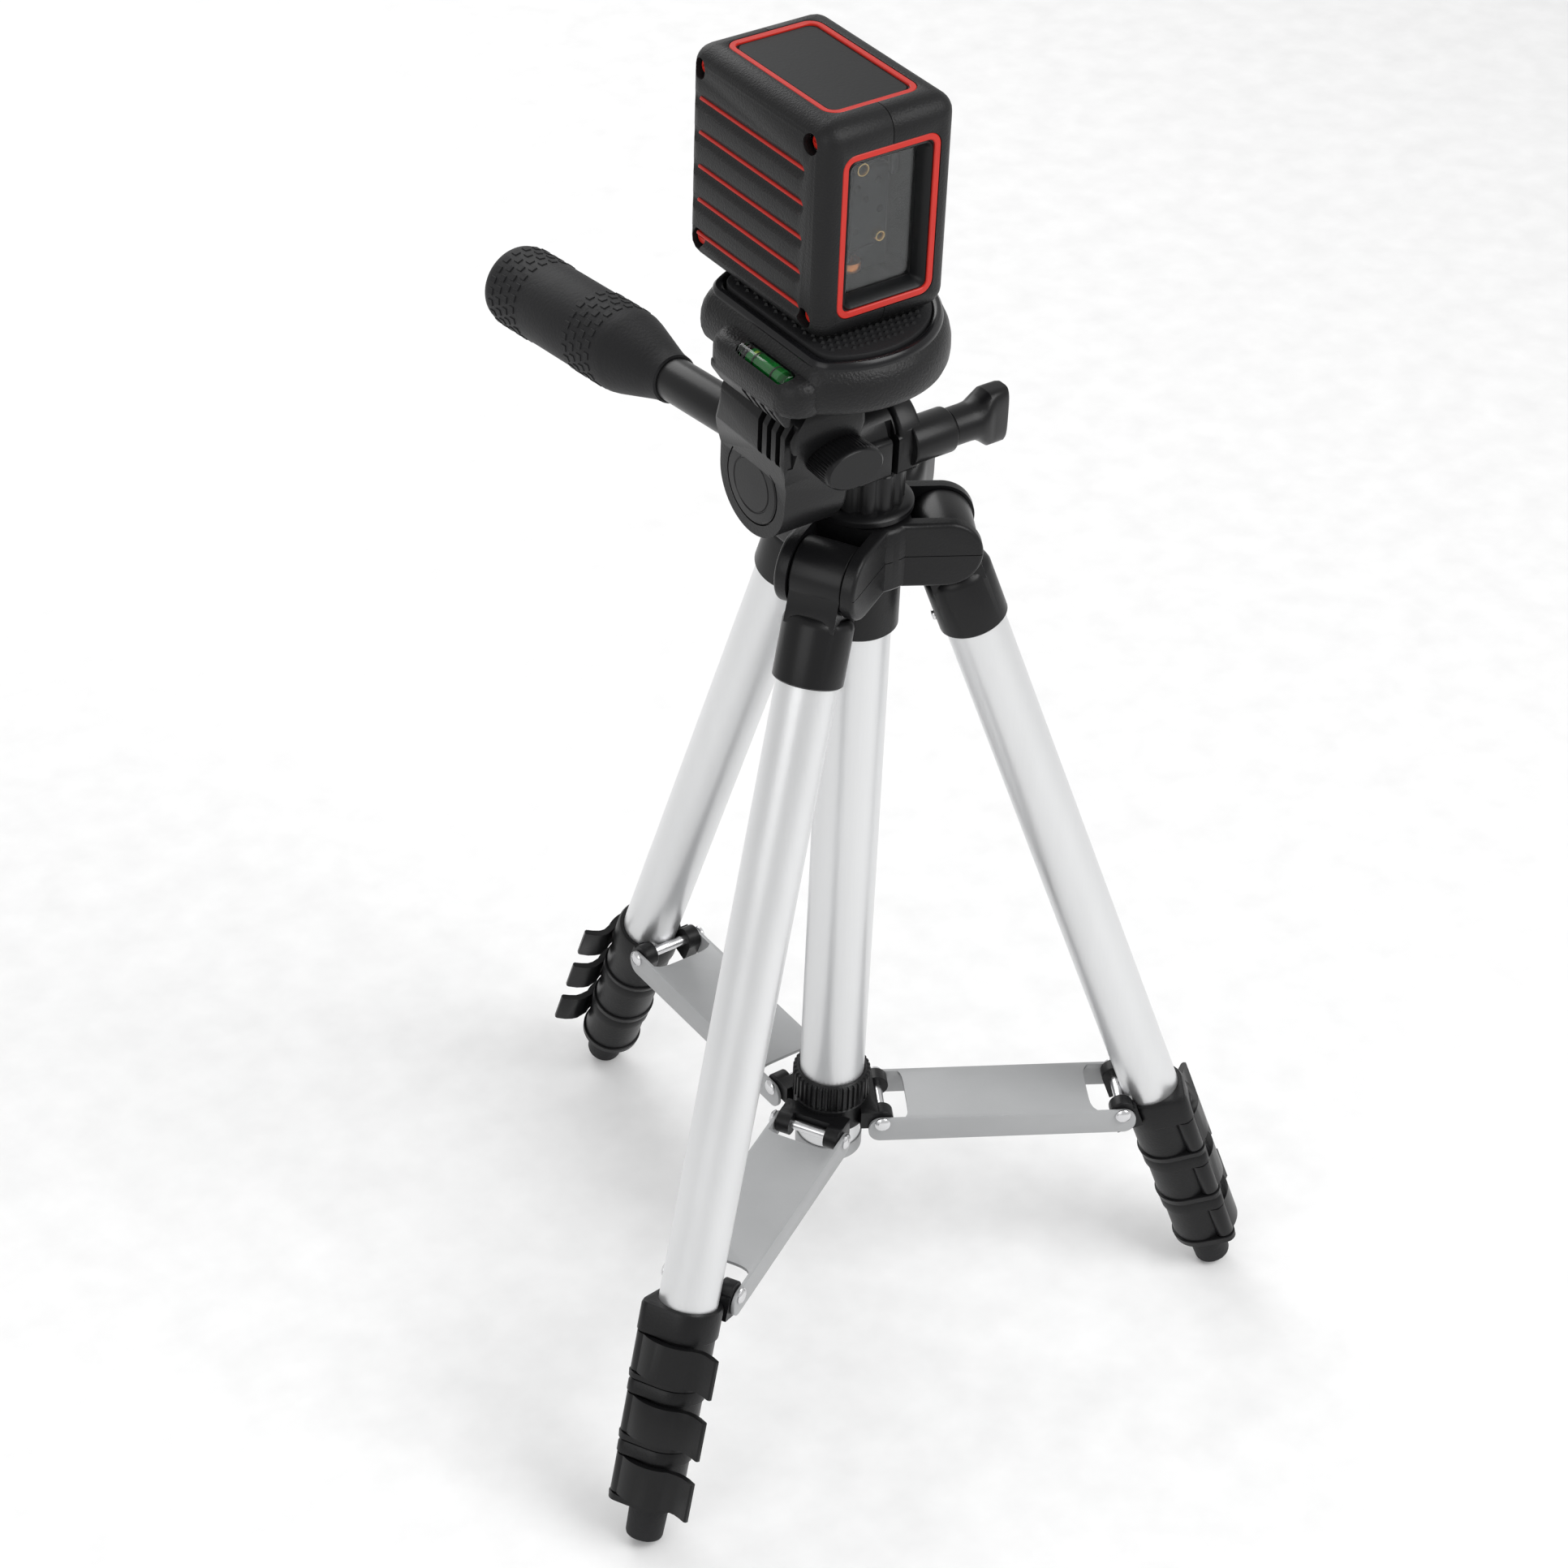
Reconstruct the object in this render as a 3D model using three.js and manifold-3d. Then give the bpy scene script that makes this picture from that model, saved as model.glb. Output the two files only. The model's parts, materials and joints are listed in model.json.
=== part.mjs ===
// A self-levelling cross-line laser on a small folding tripod.
// Millimetres, +Z up. The tripod's column stands on the local origin, the feet on z = 0,
// and the whole assembly is shifted so that its box is centred over the origin.
import * as THREE from 'three';
import { mergeVertices } from 'three/addons/utils/BufferGeometryUtils.js';
import Module from 'manifold-3d';

const wasm = await Module();
wasm.setup();

// ---- driving dimensions -------------------------------------------------------------
const GAP = 0.3; // clearance between neighbouring pieces
const SIDES = 18; // facets of a round piece

const LEG_AZIMUTHS = [-150, -30, 90]; // degrees round the column
const LEG_SPLAY = 20.6; // degrees from vertical with the tripod open
const PIVOT_RADIUS = 24;
const PIVOT_Z = 298.4;

const TUBE_RADII = [9.35, 7.9, 6.5, 5.1]; // outer radius of each telescoping section
const TUBE_WALL = 0.9;
const SOCKET_END = 32.5; // distances down the leg from its pivot
const LOCK_TOPS = [234.7, 265.5, 287];
const LOCK_ENDS = [265.2, 286.7, 308.5];
const LOCK_HALF_WIDTH = 10.9;
const LEVER_TALL = 14;
const LEVER_TOPS = [249.8, 271, 292.8];
const FOOT_TOP = 308.8;
const FOOT_END = 316.5;
const FOOT_RADIUS = 6.2;

const BRACE_PIN_DOWN = 232.6; // down the leg
const BRACE_PIN_IN = 10.9; // inward of the leg's axis
const HUB_PIN_RADIUS = 16;
const BRACE_HALF_GAP = 11.4;
const BRACE_WALL = 1.2;
const BRACE_WEB_TOP = 1.8; // above the pins
const BRACE_TALL = 9;
const BRACE_END = 4.5; // beyond each pin
const BRACE_NOTCH = [5, 27.5]; // web cut back from the hub pin and from the leg pin

const GUIDE_RADIUS = 10.5;
const GUIDE_BORE = 9.1;
const GUIDE_BOTTOM = 60;
const COLUMN_RADIUS = 8.7;
const SPIDER_BOTTOM = 268;
const SPIDER_TOP = 309.2;
const ARM_RADIUS = 10.8;
const ARM_HALF_WIDTH = 12.75;
const KNUCKLE_HALF = 8.3;

const NECK_TOP = 325;
const TILT_Y = -1; // the tilt axis runs along X
const TILT_Z = 330;
const HOUSING_LEFT = -44;
const HOUSING_RIGHT = -18;
const FLIP_X = -27; // the flip axis runs along Y
const FLIP_Z = 347;

const PLATE_X = -19;
const PLATE_Y = -2;
const PLATE_RADIUS = 36;
const PLATE_FLAT_X = -43.5;
const PLATE_BOTTOM = 366.6;
const PLATE_TOP = 382.6;
const PAD_TOP = 384.1;

const LASER_X = -14.9;
const LASER_Y = 8.6;
const LASER_WIDE = 45;
const LASER_DEEP = 65;
const LASER_TALL = 65;
const LASER_BOTTOM = 384.4;
const LASER_ROUND = 6;
const SHELL = 2.2;

// ---- materials ----------------------------------------------------------------------
const paint = (color, roughness, metalness = 0) =>
  new THREE.MeshStandardMaterial({ color, roughness, metalness });
const BLACK = paint(0x1d1e20, 0.45);
const CHARCOAL = paint(0x2b2c2e, 0.6);
const RUBBER = paint(0x161616, 0.9);
const GREY_METAL = paint(0xa9abab, 0.45, 0.4);
const ALUMINIUM = paint(0xd4d6d8, 0.4, 0.7);
const SILVER = paint(0xd8d9da, 0.25, 1);
const BRASS = paint(0xb08d4a, 0.3, 1);
const GREEN = paint(0x2f9a3a, 0.1);
const GLASS = paint(0xdfe8e8, 0.05);

// ---- solids -------------------------------------------------------------------------
const V = (x, y, z) => new THREE.Vector3(x, y, z);

function solid(geometry) {
  const bare = geometry.index ? geometry.toNonIndexed() : geometry.clone();
  bare.deleteAttribute('normal');
  bare.deleteAttribute('uv');
  const merged = mergeVertices(bare, 1e-4);
  const vertProperties = new Float32Array(merged.attributes.position.array);
  const triVerts = new Uint32Array(merged.index.array);
  return new wasm.Manifold(new wasm.Mesh({ numProp: 3, vertProperties, triVerts }));
}

function geometryOf(body) {
  const mesh = body.getMesh();
  const points = new Float32Array((mesh.vertProperties.length / mesh.numProp) * 3);
  for (let i = 0; i < points.length / 3; i += 1) {
    for (let k = 0; k < 3; k += 1) points[i * 3 + k] = mesh.vertProperties[i * mesh.numProp + k];
  }
  const geometry = new THREE.BufferGeometry();
  geometry.setAttribute('position', new THREE.BufferAttribute(points, 3));
  geometry.setIndex(new THREE.BufferAttribute(new Uint32Array(mesh.triVerts), 1));
  return geometry;
}

const join = (...bodies) => bodies.reduce((sum, body) => sum.add(body));
const cut = (body, ...tools) => tools.reduce((rest, tool) => rest.subtract(tool), body);

// A cylinder or cone between two points.
function rod(from, to, radius, endRadius = radius, sides = SIDES) {
  const along = to.clone().sub(from);
  const geometry = new THREE.CylinderGeometry(endRadius, radius, along.length(), sides);
  const turn = new THREE.Quaternion().setFromUnitVectors(V(0, 1, 0), along.clone().normalize());
  geometry.applyQuaternion(turn);
  geometry.translate(...from.clone().add(to).multiplyScalar(0.5).toArray());
  return solid(geometry);
}

function pipe(from, to, radius, bore, sides = SIDES) {
  const past = to.clone().sub(from).normalize();
  return cut(rod(from, to, radius, radius, sides),
    rod(from.clone().sub(past), to.clone().add(past), bore, bore, sides));
}

function box(low, high) {
  const size = high.clone().sub(low);
  const geometry = new THREE.BoxGeometry(size.x, size.y, size.z);
  geometry.translate(...low.clone().add(high).multiplyScalar(0.5).toArray());
  return solid(geometry);
}

// A rounded rectangle in a plane, as a shape.
function roundedRect(x0, y0, x1, y1, r) {
  const shape = new THREE.Shape();
  shape.moveTo(x0 + r, y0);
  shape.lineTo(x1 - r, y0);
  shape.absarc(x1 - r, y0 + r, r, -Math.PI / 2, 0);
  shape.lineTo(x1, y1 - r);
  shape.absarc(x1 - r, y1 - r, r, 0, Math.PI / 2);
  shape.lineTo(x0 + r, y1);
  shape.absarc(x0 + r, y1 - r, r, Math.PI / 2, Math.PI);
  shape.lineTo(x0, y0 + r);
  shape.absarc(x0 + r, y0 + r, r, Math.PI, 1.5 * Math.PI);
  return shape;
}

// A shape pushed along +Z from z0 to z1.
function slab(shape, z0, z1, curveSegments = 5) {
  const geometry = new THREE.ExtrudeGeometry(shape,
    { depth: z1 - z0, bevelEnabled: false, curveSegments });
  geometry.translate(0, 0, z0);
  return solid(geometry);
}

// A shape drawn in Y (across) and Z (up), pushed along +X from x0 to x1.
function slabX(shape, x0, x1, curveSegments = 6) {
  const geometry = new THREE.ExtrudeGeometry(shape,
    { depth: x1 - x0, bevelEnabled: false, curveSegments });
  geometry.applyMatrix4(new THREE.Matrix4().set(0, 0, 1, x0, 1, 0, 0, 0, 0, 1, 0, 0, 0, 0, 0, 1));
  return solid(geometry);
}

function polygon(points) {
  return new THREE.Shape(points.map(([x, y]) => new THREE.Vector2(x, y)));
}

// ---- scene graph --------------------------------------------------------------------
const assembly = new THREE.Group();

function place(parent, name, body, material) {
  const mesh = new THREE.Mesh(geometryOf(body), material);
  mesh.name = name;
  parent.add(mesh);
}

// ---- tripod spider, guide tube and column -------------------------------------------
const deg = THREE.MathUtils.degToRad;
const onColumn = (z) => V(0, 0, z);
const turned = (body, degrees) => body.rotate([0, 0, degrees]);

function makeSpider() {
  const core = join(rod(onColumn(287.6), onColumn(SPIDER_TOP), 17),
    rod(onColumn(SPIDER_BOTTOM), onColumn(288), 12.5));
  const armHalf = ARM_HALF_WIDTH;
  const arms = LEG_AZIMUTHS.map((azimuth) => {
    const bar = box(V(0, -armHalf, PIVOT_Z - ARM_RADIUS), V(PIVOT_RADIUS, armHalf, PIVOT_Z + ARM_RADIUS));
    const end = rod(V(PIVOT_RADIUS, -armHalf, PIVOT_Z), V(PIVOT_RADIUS, armHalf, PIVOT_Z), ARM_RADIUS);
    return turned(join(bar, end), azimuth);
  });
  const slots = LEG_AZIMUTHS.map((azimuth) => turned(
    box(V(PIVOT_RADIUS - 10.6, -KNUCKLE_HALF - GAP, 280), V(40, KNUCKLE_HALF + GAP, 320)), azimuth));
  const lockBoss = rod(V(10, 0, 0), V(19, 0, 0), 6).rotate([0, 0, 28.4]).translate([0, 0, 299]);
  const body = join(core, ...arms, lockBoss);
  const bore = rod(onColumn(260), onColumn(320), GUIDE_BORE);
  const seat = rod(onColumn(260), onColumn(300.3), GUIDE_RADIUS + GAP);
  return cut(body, ...slots, bore, seat);
}

function wingKnob(from, direction, stem, wingFrom, wingTo, halfTall, halfThick) {
  // Built along +X, then turned: a round stem and a flat two-sided wing.
  const shaft = rod(V(0, 0, 0), V(wingFrom + 1, 0, 0), stem);
  const wing = box(V(wingFrom, -halfThick, -halfTall), V(wingTo, halfThick, halfTall));
  const ends = rod(V(wingFrom - 4, 0, 0), V(wingTo, 0, 0), 4.6, halfTall * 1.05);
  const keep = box(V(wingFrom - 5, -halfThick, -halfTall), V(wingTo, halfThick, halfTall));
  return join(shaft, wing, ends.intersect(keep)).rotate([0, 0, direction])
    .translate(from.toArray());
}

place(assembly, 'spider', makeSpider(), BLACK);
place(assembly, 'guide_tube',
  pipe(onColumn(GUIDE_BOTTOM), onColumn(300), GUIDE_RADIUS, GUIDE_BORE), ALUMINIUM);
place(assembly, 'center_column',
  pipe(onColumn(66), onColumn(SPIDER_TOP), COLUMN_RADIUS, COLUMN_RADIUS - 1.2), ALUMINIUM);
place(assembly, 'column_top_collar', join(
  rod(onColumn(SPIDER_TOP + GAP), onColumn(312.2), 15),
  rod(onColumn(312), onColumn(NECK_TOP), 12)), BLACK);
const lockKnobFoot = V(19.4 * Math.cos(deg(28.4)), 19.4 * Math.sin(deg(28.4)), 299);
place(assembly, 'column_lock_knob', wingKnob(lockKnobFoot, 28.4, 4.4, 9, 27, 9, 3.2), BLACK);

// ---- brace hub ----------------------------------------------------------------------
const splay = deg(LEG_SPLAY);
const PIN_R = PIVOT_RADIUS + BRACE_PIN_DOWN * Math.sin(splay) - BRACE_PIN_IN * Math.cos(splay);
const PIN_Z = PIVOT_Z - BRACE_PIN_DOWN * Math.cos(splay) - BRACE_PIN_IN * Math.sin(splay);
const LUG_HALF = BRACE_HALF_GAP - GAP;
const LUG_RADIUS = 4;

function makeHub() {
  const lugs = LEG_AZIMUTHS.map((azimuth) => {
    const eye = rod(V(HUB_PIN_RADIUS, -LUG_HALF, PIN_Z), V(HUB_PIN_RADIUS, LUG_HALF, PIN_Z), LUG_RADIUS);
    const root = box(V(9, -LUG_HALF, PIN_Z - 3), V(HUB_PIN_RADIUS, LUG_HALF, PIN_Z + 4));
    return turned(join(eye, root), azimuth);
  });
  const body = join(rod(onColumn(PIN_Z - 3.8), onColumn(PIN_Z + 15.4), 12.5), ...lugs);
  return cut(body, rod(onColumn(60), onColumn(100), GUIDE_RADIUS + GAP));
}
place(assembly, 'brace_hub', makeHub(), BLACK);

function makeBrace() {
  // A channel from the hub pin to the leg pin, its web on top and cut back at both ends.
  const outer = BRACE_HALF_GAP + BRACE_WALL;
  const x0 = HUB_PIN_RADIUS - BRACE_END;
  const x1 = PIN_R + BRACE_END;
  const low = PIN_Z + BRACE_WEB_TOP - BRACE_TALL;
  const top = PIN_Z + BRACE_WEB_TOP;
  const bar = box(V(x0, -outer, low), V(x1, outer, top));
  const inside = box(V(x0 - 1, -BRACE_HALF_GAP, low - 1), V(x1 + 1, BRACE_HALF_GAP, top - BRACE_WALL));
  const hubNotch = box(V(x0 - 1, -BRACE_HALF_GAP, low), V(HUB_PIN_RADIUS + BRACE_NOTCH[0], BRACE_HALF_GAP, top + 1));
  const legNotch = box(V(PIN_R - BRACE_NOTCH[1], -BRACE_HALF_GAP, low), V(x1 + 1, BRACE_HALF_GAP, top + 1));
  return cut(bar, inside, hubNotch, legNotch);
}

// ---- legs ---------------------------------------------------------------------------
// In a leg's own frame +X points outward, +Z up the leg, and the pivot is the origin.
const down = (s) => V(0, 0, -s);

function lockBody(top, end) {
  const w = LOCK_HALF_WIDTH;
  const body = slab(roundedRect(-w, -w, w, w, 5), -end, -top, 3);
  return body;
}

function leverSeat(top) {
  // Room for the lever: a step in the outer side and round its hinge corner.
  const z1 = -(top - GAP);
  const z0 = -(top + LEVER_TALL + GAP);
  return join(box(V(8.2, -20, z0), V(20, 20, z1)), box(V(6.2, -20, z0), V(20, -8.2, z1)));
}

function makeLever(top) {
  const z0 = -(top + LEVER_TALL);
  const z1 = -top;
  const eye = rod(V(9.8, -11.6, z0), V(9.8, -11.6, z1), 2.9, 2.9, 12);
  const arm = box(V(8.6, -11.6, z0), V(12.2, 12.2, z1));
  const fin = slab(polygon([[8.6, 11], [12.2, 9.5], [14.6, 16.4], [12.8, 16.9]]), z0, z1);
  return join(eye, arm, fin);
}

function makeSocket() {
  const knuckle = rod(V(0, -KNUCKLE_HALF, 0), V(0, KNUCKLE_HALF, 0), 10);
  const stem = box(V(-8.5, -KNUCKLE_HALF, -14), V(8.5, KNUCKLE_HALF, 0));
  const cup = rod(down(SOCKET_END), down(11.9), 10.7);
  const bore = rod(down(SOCKET_END + 1), down(20), TUBE_RADII[0] + GAP);
  return cut(join(knuckle, stem.intersect(rod(V(0, -9, -2), V(0, 9, -2), 14)), cup), bore);
}

function makeFirstLock() {
  const pinZ = -BRACE_PIN_DOWN;
  const lug = join(
    rod(V(-BRACE_PIN_IN, -LUG_HALF, pinZ), V(-BRACE_PIN_IN, LUG_HALF, pinZ), LUG_RADIUS),
    box(V(-BRACE_PIN_IN - LUG_RADIUS, -LUG_HALF, pinZ - 8), V(-LOCK_HALF_WIDTH + 3, LUG_HALF, pinZ)));
  const body = join(lockBody(LOCK_TOPS[0], LOCK_ENDS[0]), lug);
  return cut(body, rod(down(248), down(220), TUBE_RADII[0] + GAP),
    rod(down(270), down(240), TUBE_RADII[1] + GAP), leverSeat(LEVER_TOPS[0]));
}

// A telescoping section: its tube, and the lock for the next section at its lower end.
function makeSection(index) {
  const top = down(32 + 4 * index);
  const body = join(rod(down(LOCK_TOPS[index] + 1), top, TUBE_RADII[index]),
    lockBody(LOCK_TOPS[index], LOCK_ENDS[index]));
  return cut(body, rod(down(320), V(0, 0, 0), TUBE_RADII[index] - TUBE_WALL),
    leverSeat(LEVER_TOPS[index]));
}

function makeLeg(number, azimuth) {
  const around = new THREE.Group();
  around.rotation.z = deg(azimuth);
  const leg = new THREE.Group();
  leg.position.set(PIVOT_RADIUS, 0, PIVOT_Z);
  leg.rotation.y = -splay;
  around.add(leg);
  assembly.add(around);
  place(leg, `leg_socket_${number}`, makeSocket(), BLACK);
  place(leg, `leg_tube_1_${number}`,
    pipe(down(247), down(20.3), TUBE_RADII[0], TUBE_RADII[0] - TUBE_WALL), ALUMINIUM);
  place(leg, `lock_housing_1_${number}`, makeFirstLock(), BLACK);
  for (let i = 1; i <= 2; i += 1) place(leg, `section_${i + 1}_${number}`, makeSection(i), BLACK);
  for (let i = 0; i <= 2; i += 1) {
    place(leg, `lock_lever_${i + 1}_${number}`, makeLever(LEVER_TOPS[i]), CHARCOAL);
  }
  place(leg, `tube_4_${number}`, rod(down(311), down(44), TUBE_RADII[3]), ALUMINIUM);
  place(leg, `foot_${number}`, cut(rod(down(FOOT_END), down(FOOT_TOP), FOOT_RADIUS),
    rod(down(311.3), down(300), TUBE_RADII[3] + GAP)), RUBBER);
  place(around, `brace_${number}`, makeBrace(), GREY_METAL);
}
LEG_AZIMUTHS.forEach((azimuth, index) => makeLeg(index + 1, azimuth));

// ---- pan and tilt head --------------------------------------------------------------
function makePanBase() {
  const barrel = rod(V(HOUSING_RIGHT + GAP, TILT_Y, TILT_Z), V(3, TILT_Y, TILT_Z), 10);
  const collar = rod(V(2, TILT_Y, TILT_Z + 4), V(10, TILT_Y, TILT_Z + 4), 13);
  const block = box(V(-13, -14, NECK_TOP), V(10, 10, 339));
  const ear = rod(V(8, -10, TILT_Z + 3), V(21, -10, TILT_Z + 3), 7);
  const neck = rod(onColumn(300), onColumn(NECK_TOP + GAP), 40);
  const split = box(V(-1.2, -30, 320), V(1.2, -8, 350));
  return cut(join(barrel, collar, block, ear), neck, split);
}
place(assembly, 'pan_base', makePanBase(), BLACK);
place(assembly, 'pan_lock_knob', wingKnob(V(21.3, -10, TILT_Z + 3), 0, 6, 9, 20, 9, 5), BLACK);

const HOUSING_ROUND = 16;
const TONGUE_HALF = 6;
const TONGUE_ROUND = 4.2;
const CAP_RADIUS = 12;
function makeTiltHousing() {
  const side = new THREE.Shape();
  side.moveTo(TILT_Y + HOUSING_ROUND, TILT_Z);
  side.lineTo(TILT_Y + HOUSING_ROUND, 356);
  side.lineTo(TILT_Y + 12, 361);
  side.lineTo(TILT_Y - 12, 361);
  side.lineTo(TILT_Y - HOUSING_ROUND, 356);
  side.lineTo(TILT_Y - HOUSING_ROUND, TILT_Z);
  side.absarc(TILT_Y, TILT_Z, HOUSING_ROUND, Math.PI, 2 * Math.PI);
  const body = slabX(side, HOUSING_LEFT, HOUSING_RIGHT, 12);
  const flipRoom = cut(box(V(-60, -40, FLIP_Z), V(0, 40, 400)),
    rod(V(FLIP_X, -40, FLIP_Z), V(FLIP_X, 40, FLIP_Z), 19));
  const tongueRoom = join(
    rod(V(FLIP_X, -TONGUE_HALF - GAP, FLIP_Z), V(FLIP_X, TONGUE_HALF + GAP, FLIP_Z), TONGUE_ROUND + GAP * 2),
    box(V(-60, -TONGUE_HALF - GAP, FLIP_Z - TONGUE_ROUND - GAP), V(FLIP_X + TONGUE_ROUND + GAP, TONGUE_HALF + GAP, 400)));
  const capSeat = rod(V(HOUSING_LEFT - 1, TILT_Y, TILT_Z), V(HOUSING_LEFT + 2.3, TILT_Y, TILT_Z), CAP_RADIUS + GAP);
  const rodSeat = rod(V(-30, 8, 337.7), V(-30, 30, 335.3), 7.1);
  return cut(body, flipRoom, tongueRoom, capSeat, rodSeat);
}
place(assembly, 'tilt_housing', makeTiltHousing(), BLACK);
place(assembly, 'pivot_cap', rod(V(HOUSING_LEFT - 0.6, TILT_Y, TILT_Z),
  V(HOUSING_LEFT + 2, TILT_Y, TILT_Z), CAP_RADIUS), BLACK);

function makeFlipKnob() {
  const profile = new THREE.Shape();
  profile.absellipse(0, 0, 10, 6.5, 0, 2 * Math.PI);
  const geometry = new THREE.ExtrudeGeometry(profile, { depth: 13.7, bevelEnabled: false, curveSegments: 12 });
  geometry.rotateX(Math.PI / 2);
  geometry.translate(FLIP_X, TILT_Y - HOUSING_ROUND - GAP, FLIP_Z - 1);
  return solid(geometry);
}
place(assembly, 'flip_lock_knob', makeFlipKnob(), BLACK);

// The pan handle slopes down to the rear.
const HANDLE_X = -30;
const handleAt = (y) => V(HANDLE_X, y, 337.8 - (y - 9) * Math.tan(deg(6.2)));
place(assembly, 'pan_handle_rod', rod(handleAt(9), handleAt(68), 6.75), BLACK);
place(assembly, 'pan_handle_grip', cut(join(
  rod(handleAt(54.9), handleAt(79), 7.6, 13),
  rod(handleAt(78.9), handleAt(142.6), 13)), rod(handleAt(50), handleAt(68.4), 7.05)), RUBBER);

// ---- camera platform ----------------------------------------------------------------
const RECESS_FLOOR = 369.6;
const SCREW_X = -17;
const SCREW_Y = 0;
const SCREW_RADIUS = 3.1;
const VIAL = { x: -45.6, z: 375.4, y0: -22, y1: -3, radius: 3.3 };

function plateOutline(inset) {
  const radius = PLATE_RADIUS - inset;
  const half = Math.acos((PLATE_FLAT_X + inset - PLATE_X) / radius);
  const shape = new THREE.Shape();
  shape.absarc(PLATE_X, PLATE_Y, radius, -half, half);
  return shape;
}

function makePlatform() {
  const body = slab(plateOutline(0), PLATE_BOTTOM, 379, 14);
  const shoulder = slab(roundedRect(-50, -27, -38, 11, 5), PLATE_BOTTOM, VIAL.z);
  const tongue = join(
    rod(V(FLIP_X, -TONGUE_HALF, FLIP_Z), V(FLIP_X, TONGUE_HALF, FLIP_Z), TONGUE_ROUND),
    box(V(FLIP_X - TONGUE_ROUND, -TONGUE_HALF, FLIP_Z),
      V(FLIP_X + TONGUE_ROUND, TONGUE_HALF, PLATE_BOTTOM + 1)));
  const recess = slab(plateOutline(4), RECESS_FLOOR, 380, 14);
  const vialSeat = rod(V(VIAL.x, VIAL.y0 - GAP, VIAL.z), V(VIAL.x, VIAL.y1 + GAP, VIAL.z), VIAL.radius + GAP);
  return cut(join(body, shoulder, tongue), recess, vialSeat);
}

function makePlate() {
  const body = slab(plateOutline(4 + GAP), RECESS_FLOOR + GAP, PLATE_TOP, 14);
  return cut(body, rod(V(SCREW_X, SCREW_Y, 360), V(SCREW_X, SCREW_Y, 390), SCREW_RADIUS + GAP),
    rod(V(SCREW_X, SCREW_Y, 360), V(SCREW_X, SCREW_Y, 373.2), 7.3));
}

place(assembly, 'head_platform', makePlatform(), BLACK);
place(assembly, 'mount_plate', makePlate(), BLACK);
place(assembly, 'plate_pad', cut(slab(plateOutline(7), PLATE_TOP + GAP, PAD_TOP, 14),
  rod(V(SCREW_X, SCREW_Y, 360), V(SCREW_X, SCREW_Y, 390), SCREW_RADIUS + GAP)), RUBBER);
place(assembly, 'plate_screw', join(
  rod(V(SCREW_X, SCREW_Y, RECESS_FLOOR + GAP), V(SCREW_X, SCREW_Y, 372.9), 7),
  rod(V(SCREW_X, SCREW_Y, 372), V(SCREW_X, SCREW_Y, 389), SCREW_RADIUS)), SILVER);
place(assembly, 'bubble_vial',
  rod(V(VIAL.x, VIAL.y0, VIAL.z), V(VIAL.x, VIAL.y1, VIAL.z), VIAL.radius, VIAL.radius, 16), GREEN);

// ---- laser --------------------------------------------------------------------------
const LEFT = LASER_X - LASER_WIDE / 2;
const RIGHT = LASER_X + LASER_WIDE / 2;
const FRONT = LASER_Y - LASER_DEEP / 2;
const REAR = LASER_Y + LASER_DEEP / 2;
const TOP = LASER_BOTTOM + LASER_TALL;
const GROOVE_PITCH = 12;
const GROOVE_RADIUS = 3;
const WINDOW = { half: 15, bottom: LASER_BOTTOM + 12, top: TOP - 8 };
const COVER = { half: 16, bottom: LASER_BOTTOM + 8, top: TOP - 8 };
const PANEL = { half: 14, front: FRONT + 9, rear: REAR - 9 };
const SWITCH_Z = LASER_BOTTOM + 8;
const PENDULUM_Z = TOP - 14;
const PENDULUM_Y = FRONT + 21;

// A box with rounded vertical and top edges, from a rounded outline with chamfered ends.
function roundedBlock(inset, radius) {
  const shape = roundedRect(LEFT + inset + radius, FRONT + inset + radius,
    RIGHT - inset - radius, REAR - inset - radius, 0.8);
  const geometry = new THREE.ExtrudeGeometry(shape, {
    depth: LASER_TALL - 2 * inset - 2 * radius,
    bevelThickness: radius,
    bevelSize: radius,
    bevelSegments: 2,
    curveSegments: 2,
  });
  geometry.translate(0, 0, LASER_BOTTOM + inset + radius);
  return solid(geometry);
}

// An opening through a wall, as a rounded outline in X and Z pushed along Y.
function opening(half, bottom, top, y0, y1) {
  const shape = roundedRect(-half, bottom, half, top, 4);
  const geometry = new THREE.ExtrudeGeometry(shape, { depth: y1 - y0, bevelEnabled: false, curveSegments: 3 });
  geometry.rotateX(Math.PI / 2);
  geometry.translate(LASER_X, y1, 0);
  return solid(geometry);
}

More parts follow.
